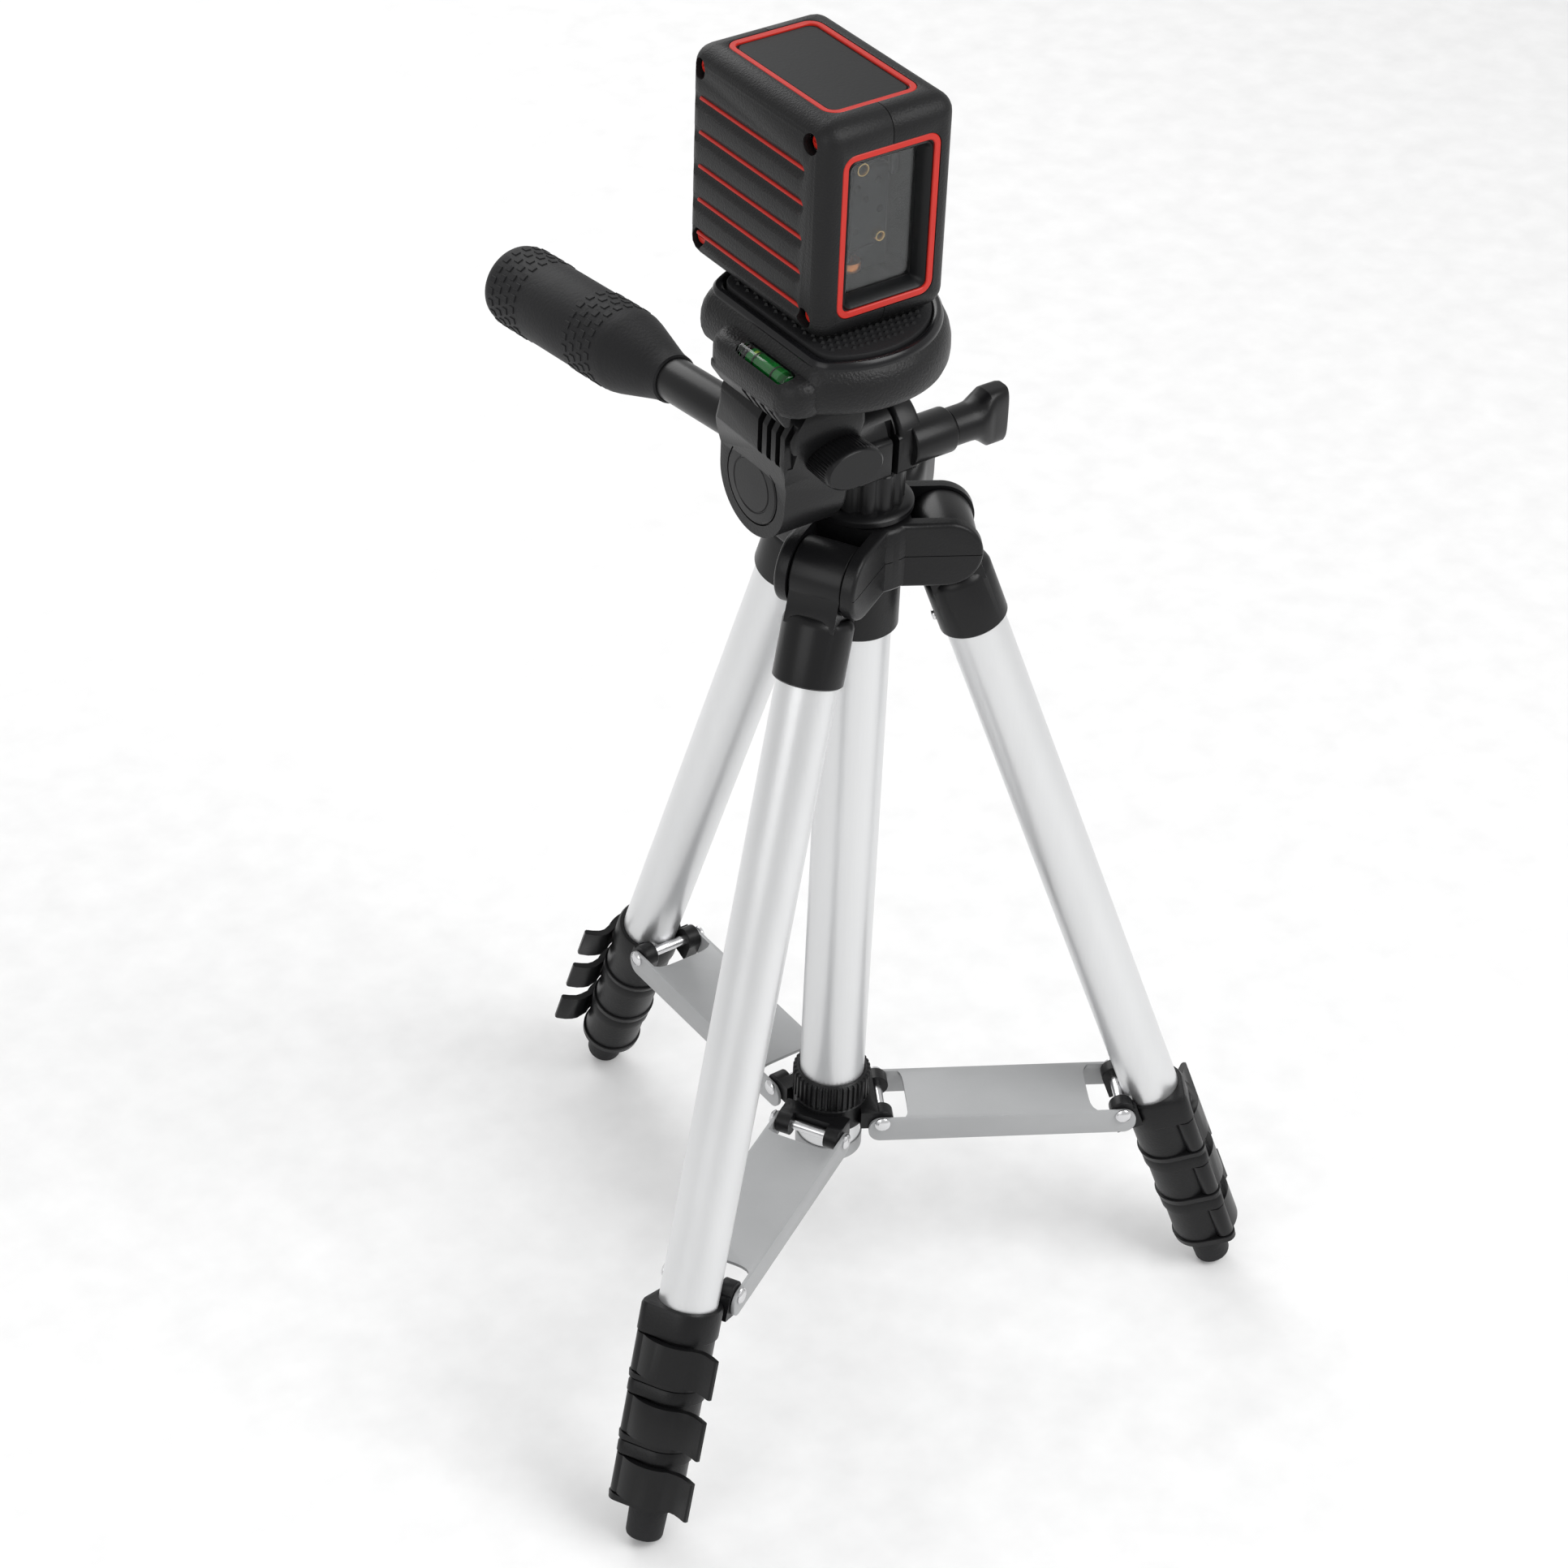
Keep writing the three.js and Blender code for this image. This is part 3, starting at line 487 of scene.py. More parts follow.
def joint_place(name):
    """Where a joint stands, in millimetres from the column."""
    return (Vector(JOINT[name]["pos_m"]) - AXIS) / MM


def fold_name(leg):
    """The name of the joint that a leg folds on."""
    return "leg_fold" if leg == 1 else f"leg_fold_{leg}"


def leg_frame(leg):
    """Origin at the leg's pivot, X outward, Y along the pivot's axis and Z up the leg."""
    fold = fold_name(leg)
    across = Vector(JOINT[fold]["axis"])
    up = -Vector(JOINT[f"extend_1_{leg}"]["axis"])
    return frame_at(joint_place(fold), across.cross(up), across, up)


def brace_frame(leg):
    """Origin at the brace's hinge on the hub, X outward, Y along the hinge's axis and Z up."""
    fold = f"brace_fold_{leg}"
    across = Vector(JOINT[fold]["axis"])
    return frame_at(joint_place(fold), across.cross(Vector((0, 0, 1))), across, (0, 0, 1))


# ---- legs ----
# Tops and ends are distances down the leg from its pivot; profiles give heights up from it.
TUBE_RADII = (9.35, 7.9, 6.5, 5.1)
TUBE_WALL = 0.9
TUBE_TOPS = (20.3, 36, 40, 44)
FIRST_TUBE_END = 247
LAST_TUBE_END = 305
LOCK_TOPS = (234.7, 261.3, 282.6)
LOCK_ENDS = (261.0, 282.3, 303.6)
LOCK_RADII = (11.2, 10.8, 10.4)
LEVER_TOPS = (245.4, 266.5, 287.7)
LEVER_TALL = 13.0
LEVER_GAP = 0.5
LEVER_THICK = 2.3
HINGE_TURN = math.radians(-50)
HINGE_REACH = 1.02
PIN_DOWN, PIN_IN = 232.6, 10.9
PIN_HALF, PIN_RADIUS = 11.1, 1.7
KNUCKLE_HALF, KNUCKLE_RADIUS = 8.3, 10.0
SOCKET_BORE = 9.5
SOCKET_PROFILE = [(9.6, -32.5), (10.2, -32.5), (10.7, -32.0), (10.7, -14.6), (10.2, -13.0), (9.0, -11.9)]
FOOT_PROFILE = [(4.9, -316.5), (5.7, -316.2), (5.95, -315.5), (6.3, -304.2), (6.0, -303.9)]
FINGER_TAB = [(10.2, 10.4), (10.4, 12.2), (11.4, 14.4), (12.6, 16.4), (12.5, 17.1), (11.6, 17.5),
              (10.9, 17.2), (9.2, 14.6), (8.3, 12.4), (7.9, 10.4)]


def hull_outline(circles, count=96):
    """The tight outline round some circles of (x, y, radius), one point for each direction."""
    points = []
    for i in range(count):
        a = 2 * math.pi * i / count
        n = (math.cos(a), math.sin(a))
        x, y, r = max(circles, key=lambda c: c[0] * n[0] + c[1] * n[1] + c[2])
        points.append((x + r * n[0], y + r * n[1]))
    return points


def tube(name, radius, wall, low, high, place, mat, body, nodes=()):
    """An open tube with softened ends."""
    soft = 0.2
    profile = [(radius - wall, low), (radius - soft, low), (radius, low + soft), (radius, high - soft),
               (radius - soft, high), (radius - wall, high)]
    return finish_piece(lathe(name, profile, place, 80, closed=True), body, mat, nodes)


def socket(leg, place):
    """The cup that holds a leg's tube, with the knuckle it folds on."""
    cup = lathe("cup", SOCKET_PROFILE, place, 72)
    knuckle = pin("knuckle", (0, -KNUCKLE_HALF, 0), (0, KNUCKLE_HALF, 0), KNUCKLE_RADIUS, 0.7, 72, place)
    stem = brick("stem", (-8.2, -7.9, -15), (8.2, 7.9, -4), place)
    combine(cup, [knuckle, stem], "UNION")
    combine(cup, [pin("bore", (0, 0, -40), (0, 0, -21), SOCKET_BORE, 0.1, 72, place)])
    finish_piece(cup, f"leg_{leg}", SATIN, [f"leg_socket_{leg}"])
    screw = pin(f"socket_screw_{leg}", (-10.2, 0, -27), (-11.6, 0, -27), 1.7, 0.5, 24, place)
    finish_piece(screw, f"leg_{leg}", STEEL)


def hinge_centre(size):
    """Where a lock of that radius carries its lever's hinge."""
    reach = size * HINGE_REACH
    return reach * math.cos(HINGE_TURN), reach * math.sin(HINGE_TURN)


def lock_rings(index):
    """The rings of a lock from its end up: two bands, and the slimmer core between them."""
    size = LOCK_RADII[index]
    x, y = hinge_centre(size)
    band = hull_outline([(0, 0, size), (x, y, 3.4)])
    core = hull_outline([(0, 0, size - 0.7), (x * 0.5, y * 0.5, 5)])
    top, end = -LOCK_TOPS[index], -LOCK_ENDS[index]
    gap_top = -LEVER_TOPS[index] + LEVER_GAP
    gap_end = -LEVER_TOPS[index] - LEVER_TALL - LEVER_GAP
    steps = [(band, 1.6, top), (band, 0.5, top - 0.3), (band, 0, top - 1.4), (band, 0, gap_top + 0.3),
             (band, 0.3, gap_top), (core, 0, gap_top), (core, 0, gap_end), (band, 0.3, gap_end),
             (band, 0, gap_end - 0.2), (band, 0.2, end + 0.1), (band, 0.6, end)]
    return [[(x, y, z) for x, y in inset(outline, d)] for outline, d, z in reversed(steps)]


def brace_lugs(place):
    """The two ears on the first lock that hold the brace's pin."""
    lugs = []
    for side in (-1, 1):
        near, far = side * 6.4, side * PIN_HALF
        ends = [(-PIN_IN, y, -PIN_DOWN) for y in (near, far)]
        lugs.append(pin("lug", *ends, 4.0, 0.4, 40, place))
        low, high = min(near, far), max(near, far)
        lugs.append(brick("root", (-PIN_IN - 3.9, low, -PIN_DOWN - 8), (-6, high, -PIN_DOWN), place))
    return lugs


def lock(leg, index, place, body, nodes):
    """One clamp with its hinge pin; the first one also holds the brace."""
    piece = loops(f"lock_{index + 1}_{leg}", lock_rings(index), place)
    if index == 0:
        combine(piece, brace_lugs(place), "UNION")
        rod = pin(f"brace_pin_{leg}", (-PIN_IN, -PIN_HALF, -PIN_DOWN), (-PIN_IN, PIN_HALF, -PIN_DOWN),
                  PIN_RADIUS, 0.2, 24, place)
        finish_piece(rod, body, STEEL)
        combine(piece, [pin("socket", (0, 0, -247.5), (0, 0, -200), SOCKET_BORE, 0.1, 72, place)])
    bore = TUBE_RADII[index + 1] + 0.15
    combine(piece, [pin("bore", (0, 0, -330), (0, 0, -200), bore, 0.1, 72, place)])
    finish_piece(piece, body, BLACK, nodes)
    centre = hinge_centre(LOCK_RADII[index])
    high = -LEVER_TOPS[index] + LEVER_GAP + 1
    low = -LEVER_TOPS[index] - LEVER_TALL - LEVER_GAP - 1
    hinge = pin(f"hinge_pin_{index + 1}_{leg}", (*centre, low), (*centre, high), 1.1, 0.2, 20, place)
    finish_piece(hinge, body, STEEL)


def lever(leg, index, place):
    """A clamp lever: an eye at the hinge, a curved plate and a flared finger tab."""
    size = LOCK_RADII[index]
    inner = size + 0.1
    outer = inner + LEVER_THICK
    arc = [math.radians(-56 + 92 * i / 16) for i in range(17)]
    points = [(outer * math.cos(a), outer * math.sin(a)) for a in arc]
    points += FINGER_TAB
    points += [(inner * math.cos(a), inner * math.sin(a)) for a in reversed(arc)]
    high = -LEVER_TOPS[index]
    low = high - LEVER_TALL
    plate = slab(f"lever_{index + 1}_{leg}", points, low, high, place)
    centre = hinge_centre(size)
    combine(plate, [pin("eye", (*centre, low), (*centre, high), 3.1, 0.2, 32, place)], "UNION")
    combine(plate, [pin("hole", (*centre, low - 1), (*centre, high + 1), 1.25, 0.1, 20, place)])
    round_edges(plate, 0.55, 3, 40)
    finish_piece(plate, f"lever_{index + 1}_{leg}", SATIN, [f"lock_lever_{index + 1}_{leg}"])


def leg(number):
    """A leg as it stands stowed: each section slides inside the one above."""
    place = leg_frame(number)
    bodies = [f"leg_{number}"] + [f"{part}_section_{number}" for part in ("upper", "lower", "end")]
    socket(number, place)
    tube(f"tube_1_{number}", TUBE_RADII[0], TUBE_WALL, -FIRST_TUBE_END, -TUBE_TOPS[0], place, TUBE,
         bodies[0], [f"leg_tube_1_{number}"])
    for index in range(3):
        node = f"lock_housing_1_{number}" if index == 0 else f"section_{index + 1}_{number}"
        lock(number, index, place, bodies[index], [node])
        lever(number, index, place)
    for index in (1, 2):
        tube(f"tube_{index + 1}_{number}", TUBE_RADII[index], TUBE_WALL, -LOCK_ENDS[index] + 4,
             -TUBE_TOPS[index], place, TUBE, bodies[index])
    tube(f"tube_4_inner_{number}", TUBE_RADII[3], TUBE_WALL, -LAST_TUBE_END, -TUBE_TOPS[3], place, TUBE,
         bodies[3], [f"tube_4_{number}"])
    foot = lathe(f"rubber_foot_{number}", FOOT_PROFILE, place, 56)
    finish_piece(foot, bodies[3], RUBBER, [f"foot_{number}"])


# ---- braces ----
BRACE_LENGTH = 79.64
BRACE_HALF, BRACE_WALL = 11.4, 1.2
BRACE_TOP, BRACE_LOW = 1.8, -7.2
BRACE_END = 4.4
RIVET_DOME = [(0.3, 0), (2.5, 0), (2.6, 0.5), (2.1, 1.1), (1.1, 1.4), (0.2, 1.5)]


def brace_web():
    """The web's outline, cut back between the flanges at both ends."""
    reach = BRACE_HALF + 0.6
    steps = [-1 + i / 6 for i in range(13)]
    hub_end = [(8.8 - 1.5 * y ** 6, y * reach) for y in steps]
    leg_end = [(BRACE_LENGTH - 10.5 + 2.5 * y ** 6, y * reach) for y in reversed(steps)]
    return list(reversed(hub_end + leg_end))


def brace(number):
    """A pressed channel with its web on top, and its rivets."""
    place = brace_frame(number)
    side = outline_rect(-BRACE_END, BRACE_LOW, BRACE_LENGTH + BRACE_END, BRACE_TOP, 4.0, 8)
    flanges = [slab("flange", side, y, y + BRACE_WALL, place @ UPRIGHT)
               for y in (-BRACE_HALF - BRACE_WALL, BRACE_HALF)]
    web = slab("web", brace_web(), BRACE_TOP - BRACE_WALL, BRACE_TOP, place)
    piece = combine(web, flanges, "UNION")
    piece.name = f"brace_channel_{number}"
    round_edges(piece, 0.3, 2, 40)
    finish_piece(piece, f"brace_{number}", GREY, [f"brace_{number}"])
    for end, x in (("hub", 0), ("leg", BRACE_LENGTH)):
        for side_name, sign in (("a", 1), ("b", -1)):
            outside = (x, sign * (BRACE_HALF + BRACE_WALL), 0)
            facing = frame_at(outside, (1, 0, 0), (0, 0, -sign), (0, sign, 0))
            rivet = lathe(f"rivet_{end}_{side_name}_{number}", RIVET_DOME, place @ facing, 32)
            finish_piece(rivet, f"brace_{number}", STEEL)


for number in LEGS:
    leg(number)
    brace(number)


# ---- hub, guide tube and column ----
GUIDE_RADIUS = 10.5
COLUMN_RADIUS = 8.7
COLUMN_WALL = 1.2
FLUTES = 12


def upright_bore(radius, low, high):
    """A cutter down the middle of the column."""
    return pin("bore", (0, 0, low), (0, 0, high), radius, 0.1, 96)


def ribbed(radius, depth, ribs, per_rib=6):
    """A round outline with small square ribs."""
    points = []
    for i in range(ribs * per_rib):
        a = 2 * math.pi * i / (ribs * per_rib)
        r = radius if i % per_rib < per_rib / 2 else radius - depth
        points.append((r * math.cos(a), r * math.sin(a)))
    return points


def hub():
    """The collar that slides on the guide tube, with three pairs of ears for the braces."""
    top = millimetres("brace_hub")[1].z
    pin_z = joint_place("brace_fold_1").z
    middle = pin_z + 5
    body = lathe("hub_body", [(11.6, pin_z - 3.8), (12.2, pin_z - 3.2), (12.2, middle), (11.6, middle + 0.4),
                              (11.6, top - 0.4), (11.2, top)], sides=96)
    gaps = []
    for number in LEGS:
        place = brace_frame(number)
        ends = ((0, -PIN_HALF, 0), (0, PIN_HALF, 0))
        eye = pin("eye", *ends, 3.9, 0.4, 40, place)
        root = brick("root", (-7, -PIN_HALF, -3), (0, PIN_HALF, 3.6), place)
        combine(body, [eye, root], "UNION")
        gaps.append(brick("gap", (-1.5, -6.2, -6), (9, 6.2, 9), place))
        finish_piece(pin(f"hub_pin_{number}", *ends, PIN_RADIUS, 0.2, 24, place), "hub", STEEL)
    combine(body, gaps)
    combine(body, [upright_bore(GUIDE_RADIUS + 0.25, 60, 100)])
    finish_piece(body, "hub", BLACK, ["brace_hub"])
    outline = ribbed(12.7, 0.7, 40)
    levels = ((0.96, middle + 0.9), (1, middle + 1.3), (1, top - 0.9), (0.96, top - 0.3))
    ring = loops("hub_ribs", [[(x * k, y * k, z) for x, y in outline] for k, z in levels])
    combine(ring, [upright_bore(11.3, 60, 100)])
    finish_piece(ring, "hub", BLACK)


def fluted_neck(low, high):
    """The column's top, with flutes down its side."""
    count = 144
    rings = []
    for shrink, z in ((0.0, low), (0.0, high - 0.8), (0.6, high)):
        ring = []
        for i in range(count):
            a = 2 * math.pi * i / count
            r = 12.1 - shrink - 1.0 * abs(math.sin(FLUTES / 2 * a)) ** 4
            ring.append((r * math.cos(a), r * math.sin(a), z))
        rings.append(ring)
    finish_piece(loops("fluted_neck", rings), "column", SATIN, smooth=30)


def column():
    """The guide tube with its end ring, and the column that slides in it."""
    level = Matrix.Identity(4)
    low, high = (corner.z for corner in millimetres("guide_tube"))
    tube("guide_tube_outer", GUIDE_RADIUS, COLUMN_WALL, low, high, level, TUBE, "base", ["guide_tube"])
    tube("guide_end_ring", 10.95, 1.5, low, low + 5.5, level, GREY, "base")
    low, high = (corner.z for corner in millimetres("center_column"))
    tube("column_tube", COLUMN_RADIUS, COLUMN_WALL, low, high, level, TUBE, "column", ["center_column"])
    low, high = (corner.z for corner in millimetres("column_top_collar"))
    flange = lathe("column_flange", [(14.4, low), (15, low + 0.5), (15, low + 2.0), (14.4, low + 2.7),
                                     (12.6, low + 3.2), (11, low + 3.4)], sides=96)
    finish_piece(flange, "column", SATIN, ["column_top_collar"])
    fluted_neck(low + 3, high)


hub()
column()


# ---- spider ----
ARM_RADIUS, ARM_HALF = 10.8, 12.75
FORK_HALF = 8.7


def spider():
    """The shoulder with three forks for the legs and a boss for the column's lock."""
    low = millimetres("spider")[0].z
    pivot_z = joint_place("leg_fold").z
    top, bottom = pivot_z + ARM_RADIUS, pivot_z - ARM_RADIUS
    core = lathe("spider_body", [(11.8, low), (12.5, low + 0.7), (12.5, bottom - 1), (13.5, bottom),
                                 (16.4, bottom + 0.4), (17.2, bottom + 1.4), (17.2, top - 1.6),
                                 (16.4, top - 0.4), (15.4, top)], sides=96)
    half_turn = [math.radians(-90 + 180 * i / 32) for i in range(33)]
    outline = [(ARM_RADIUS * math.cos(a), ARM_RADIUS * math.sin(a)) for a in half_turn]
    outline += [(-20, ARM_RADIUS), (-20, -ARM_RADIUS)]
    arms, cutters = [], []
    for number in LEGS:
        across = Vector(JOINT[fold_name(number)]["axis"])
        outward = across.cross(Vector((0, 0, 1)))
        side = frame_at(joint_place(fold_name(number)), outward, (0, 0, 1), -across)
        arm = slab("arm", outline, -ARM_HALF, ARM_HALF, side)
        round_edges(arm, 1.3, 4, 40)
        arms.append(arm)
        cutters.append(brick("fork", (-10.7, -14, -FORK_HALF), (20, 14, FORK_HALF), side))
        for z in (12.15, -14.3):
            cutters.append(brick("seam", (-30, -0.13, z), (10.4, 0.13, z + 2.15), side))
    combine(core, arms, "UNION")
    knob = joint_place("column_knob_turn")
    outward = Vector((knob.x, knob.y, 0)).normalized()
    height = Vector((0, 0, knob.z))
    combine(core, [pin("boss", outward * 10 + height, outward * 19 + height, 6, 0.6)], "UNION")
    cutters += [upright_bore(COLUMN_RADIUS + 0.3, 250, 320), upright_bore(GUIDE_RADIUS + 0.1, 250, 300.4)]
    combine(core, cutters)
    finish_piece(core, "base", BLACK, ["spider"])


spider()


# ---- knobs and handle ----
# (distance along the knob, half width, half height, squareness, height of the ribs)
PADDLE = [(9.0, 6.0, 6.0, 2, 0), (11.0, 6.0, 7.2, 2.4, 0), (13.2, 5.2, 9.0, 3.2, 0), (15, 4.6, 9.6, 4, 0),
          (19.0, 4.2, 9.7, 4.5, 0), (20.0, 3.6, 9.0, 4, 0)]
PADDLE_LENGTH = 20
ROD_RADIUS, ROD_LENGTH = 6.75, 62
GRIP_LOW, GRIP_TIP = 45.9, 134.2
STUDS_AROUND, STUD_ROWS = 22, 4
BLOCK_FACES = ((3, 2, 1, 0), (4, 5, 6, 7), (0, 1, 5, 4), (1, 2, 6, 5), (2, 3, 7, 6), (3, 0, 4, 7))


def oval_loft(name, sections, place, count=96):
    """Rounded sections, given as in PADDLE, skinned along local Z."""
    rings = []
    for z, a, b, square, rib in sections:
        ring = []
        for i in range(count):
            t = 2 * math.pi * i / count
            c, s = math.cos(t), math.sin(t)
            grow = rib * (i // 2 % 2)
            x = (a + grow) * math.copysign(abs(c) ** (2 / square), c)
            y = (b + grow) * math.copysign(abs(s) ** (2 / square), s)
            ring.append((x, y, z))
        rings.append(ring)
    return loops(name, rings, place)


def flip_knob():
    """The oval knob with a ribbed side on the front of the tilt housing."""
    low, high = millimetres("flip_lock_knob")
    centre = (low + high) / 2
    place = frame_at((centre.x, high.y, centre.z), *FACING_FRONT)
    depth = high.y - low.y
    sections = [(0, 7.5, 5, 2, 0), (0.8, 8.6, 5.8, 2, 0), (2.0, 9.2, 6.1, 2, 0.3),
                (depth - 2.2, 9.6, 6.3, 2, 0.35), (depth - 1.4, 9.8, 6.4, 2, 0),
                (depth - 0.5, 9.6, 6.2, 2, 0), (depth, 9.0, 5.7, 2, 0)]
    finish_piece(oval_loft("flip_knob", sections, place, 192), "flip_knob", SATIN, ["flip_lock_knob"])


def wing_knob(node, body, start, length, stem, thin):
    """A round stem that widens into a flat paddle."""
    axis = Vector(JOINT[f"{body}_turn"]["axis"])
    place = frame_at(start, (-axis.y, axis.x, 0), (0, 0, 1), axis)
    scale = length / PADDLE_LENGTH
    sections = [(0, stem * 0.94, stem * 0.94, 2, 0), (0.5, stem, stem, 2, 0), (6.5 * scale, stem, stem, 2, 0)]
    sections += [(z * scale, a * thin, min(b, 9.0), square, rib) for z, a, b, square, rib in PADDLE]
    finish_piece(oval_loft(f"{node}_wing", sections, place), body, SATIN, [node], 30)


def knobs():
    """The flip knob and the two winged knobs."""
    flip_knob()
    low, high = millimetres("pan_lock_knob")
    middle = (low + high) / 2
    wing_knob("pan_lock_knob", "pan_knob", (low.x, middle.y, middle.z), high.x - low.x, 5.8, 1.0)
    low, high = millimetres("column_lock_knob")
    axis = Vector(JOINT["column_knob_turn"]["axis"])
    start = (axis.x * 19.4, axis.y * 19.4, (low.z + high.z) / 2)
    wing_knob("column_lock_knob", "column_knob", start, 27, 4.2, 0.72)


def grip_studs(place):
    """Two bands of small raised blocks round the grip, each row shifted by half a step."""
    verts, faces = [], []
    step = 2 * math.pi / STUDS_AROUND
    for first in (GRIP_TIP - 19, GRIP_TIP - 61):
        for row in range(STUD_ROWS):
            low = first + row * 4.1
            high = low + 2.5
            for i in range(STUDS_AROUND):
                start = step * (i + 0.5 * (row % 2))
                end = start + step * 0.56
                base = len(verts)
                for r in (12.7, 13.35):
                    for a, z in ((start, low), (end, low), (end, high), (start, high)):
                        verts.append((r * math.cos(a), r * math.sin(a), z))
                faces += [tuple(base + k for k in face) for face in BLOCK_FACES]
    studs = put("handle_studs", verts, faces, place)
    round_edges(studs, 0.15, 1, 40)
    finish_piece(studs, "handle", RUBBER)


def handle():
    """The pan handle's rod and its rubber grip."""
    start = joint_place("handle_twist")
    axis = Vector(JOINT["handle_twist"]["axis"])
    place = frame_at(start, (1, 0, 0), axis.cross(Vector((1, 0, 0))), axis)
    rod = pin("handle_rod", start, start + axis * ROD_LENGTH, ROD_RADIUS, 0.4, 64)
    finish_piece(rod, "handle", SATIN, ["pan_handle_rod"])
    low, tip = GRIP_LOW, GRIP_TIP
    profile = [(7.0, low), (7.6, low + 0.5), (7.9, low + 4), (8.6, low + 7), (12.4, low + 21.5),
               (13.0, low + 24.5), (13.0, tip - 3.5), (12.6, tip - 1.6), (11.4, tip - 0.4), (9.8, tip)]
    finish_piece(lathe("handle_grip", profile, place, 96), "handle", RUBBER, ["pan_handle_grip"])
    grip_studs(place)


# ---- head ----
TILT_Y, TILT_Z = -1, 330
BARREL_LIFT = 0.01
SLOT_STARTS = (-9.2, -13.5, -17.8, -22.1)
SLOT_WIDE = 2.2
OPEN_SLOTS = SLOT_STARTS[:2]
BLIND_SLOTS = SLOT_STARTS[2:]
SLOT_DROP = 1.7
FLIP_REACH = 19.0
CAP_FACE = -41.0
PLATE_CENTRE = (-19.0, -2.0)
STUD_PITCH = 2.3


def pan_base():
    """The barrel that tilts, on its turning block, with the split ear that the pan knob closes."""
    floor = millimetres("pan_base")[0].z
    z = TILT_Z + BARREL_LIFT
    barrel = pin("pan_body", (-17.6, TILT_Y, z), (3, TILT_Y, z), 10, 0.8, 64)
    block = brick("block", (-13, -13.6, floor), (9.6, 10, 338))
    round_edges(block, 1.4, 4)
    parts = [pin("collar", (2, TILT_Y, 334), (10, TILT_Y, 334), 12.9, 1.4, 80),
             pin("cheek", (-12.6, TILT_Y, 335), (6, TILT_Y, 335), 10.6, 1.0, 64),
             block,
             pin("ear", (6, -10, 333), (21, -10, 333), 6.9, 0.7, 64)]
    combine(barrel, parts, "UNION")
    combine(barrel, [pin("under", (0, 0, 300), (0, 0, floor), 60, 0.01, 24),
                     brick("split", (-0.9, -30, 320), (1.5, -9, 350))])
    round_edges(barrel, 0.35, 2, 45)
    finish_piece(barrel, "pan", SATIN, ["pan_base"])


def housing_outline():
    """The tilt housing seen from its side, in Y and Z: round below, flared towards the front above."""
    r = 16
    arc = [math.radians(180 + 180 * i / 32) for i in range(33)]
    points = [(TILT_Y + r * math.cos(a), TILT_Z + r * math.sin(a)) for a in arc]
    points += [(TILT_Y + r, 346), (13.5, 352), (12, 361), (8, 366), (-18, 366), (-22.5, 362.5),
               (-23.5, 355), (-20.5, 346), (-17.5, 338)]
    return points


def housing_cutters(axis):
    """What is cut from the tilt housing: room for the platform to flip, the slots and the cap's ring."""
    upper = brick("upper", (-60, -40, axis.z), (0, 40, 400))
    combine(upper, [pin("dome", (axis.x, -40, axis.z), (axis.x, 40, axis.z), FLIP_REACH, 0.1, 128)])
    eye_room = pin("eye_room", (axis.x, -17.2, axis.z), (axis.x, 6.3, axis.z), 4.7, 0.1, 48)
    floor = axis.z - SLOT_DROP
    finger_room = [brick("finger_room", (-60, y, floor), (axis.x + 4.6, y + SLOT_WIDE, 400))
                   for y in OPEN_SLOTS]
    # the side face leans in towards the pivot cap
    lean = slab("lean", [(-60, 300), (CAP_FACE, 300), (CAP_FACE, 336), (-44.2, 347), (-60, 347)],
                -40, 40, UPRIGHT)
    slots = [brick("slot", (-50, y, floor), (-41.2, y + SLOT_WIDE, 370)) for y in BLIND_SLOTS]
    inward = frame_at((CAP_FACE, TILT_Y, TILT_Z), (0, 0, 1), (0, -1, 0), (1, 0, 0))
    groove = [(11.9, -0.6), (12.4, -0.6), (12.4, 1.2), (11.9, 1.2)]
    cap_ring = lathe("cap_ring", groove, inward, 96, closed=True)
    return [upper, eye_room] + finger_room + [lean] + slots + [cap_ring]


def tilt_housing():
    """The housing, the cap on its pivot and the ferrule that the handle comes out of."""
    low, high = millimetres("tilt_housing")
    side = frame_at((0, 0, 0), (0, 1, 0), (0, 0, 1), (1, 0, 0))
    body = slab("tilt_body", housing_outline(), low.x, high.x, side)
    round_edges(body, 2.2, 5, 20)
    combine(body, housing_cutters(joint_place("flip")))
    finish_piece(body, "tilt", BLACK, ["tilt_housing"])
    outward = frame_at((CAP_FACE, TILT_Y, TILT_Z), (0, 0, 1), (0, -1, 0), (-1, 0, 0))
    disc = lathe("pivot_cap_disc", [(11.7, -0.5), (11.7, 0.0), (11.4, 0.25), (8.8, 0.4), (8.5, 0.1),
                                    (8.3, 0.1), (8.1, 0.4), (0.3, 0.5)], outward, 96)
    finish_piece(disc, "tilt", SATIN, ["pivot_cap"])
    ferrule = pin("handle_ferrule", (-30, 13.5, 337.3), (-30, 17.5, 336.9), 8.6, 0.8, 64)
    combine(ferrule, [pin("bore", (-30, 10, 337.7), (-30, 20, 336.6), 6.9, 0.1, 64)])
    finish_piece(ferrule, "tilt", SATIN)


def plate_outline(radius, flat, corner=8.0, count=160):
    """The camera plate: a round cut straight on one side, with round corners."""
    cx, cy = PLATE_CENTRE
    kx = flat + corner - cx
    ky = math.sqrt((radius - corner) ** 2 - kx ** 2)
    limit = math.atan2(ky, kx)
    points = []
    for i in range(count):
        a = -math.pi + 2 * math.pi * i / count
        if abs(a) <= limit:
            points.append((cx + radius * math.cos(a), cy + radius * math.sin(a)))
        else:
            points.append((cx + kx + corner * math.cos(a), cy + math.copysign(ky, a) + corner * math.sin(a)))
    return points


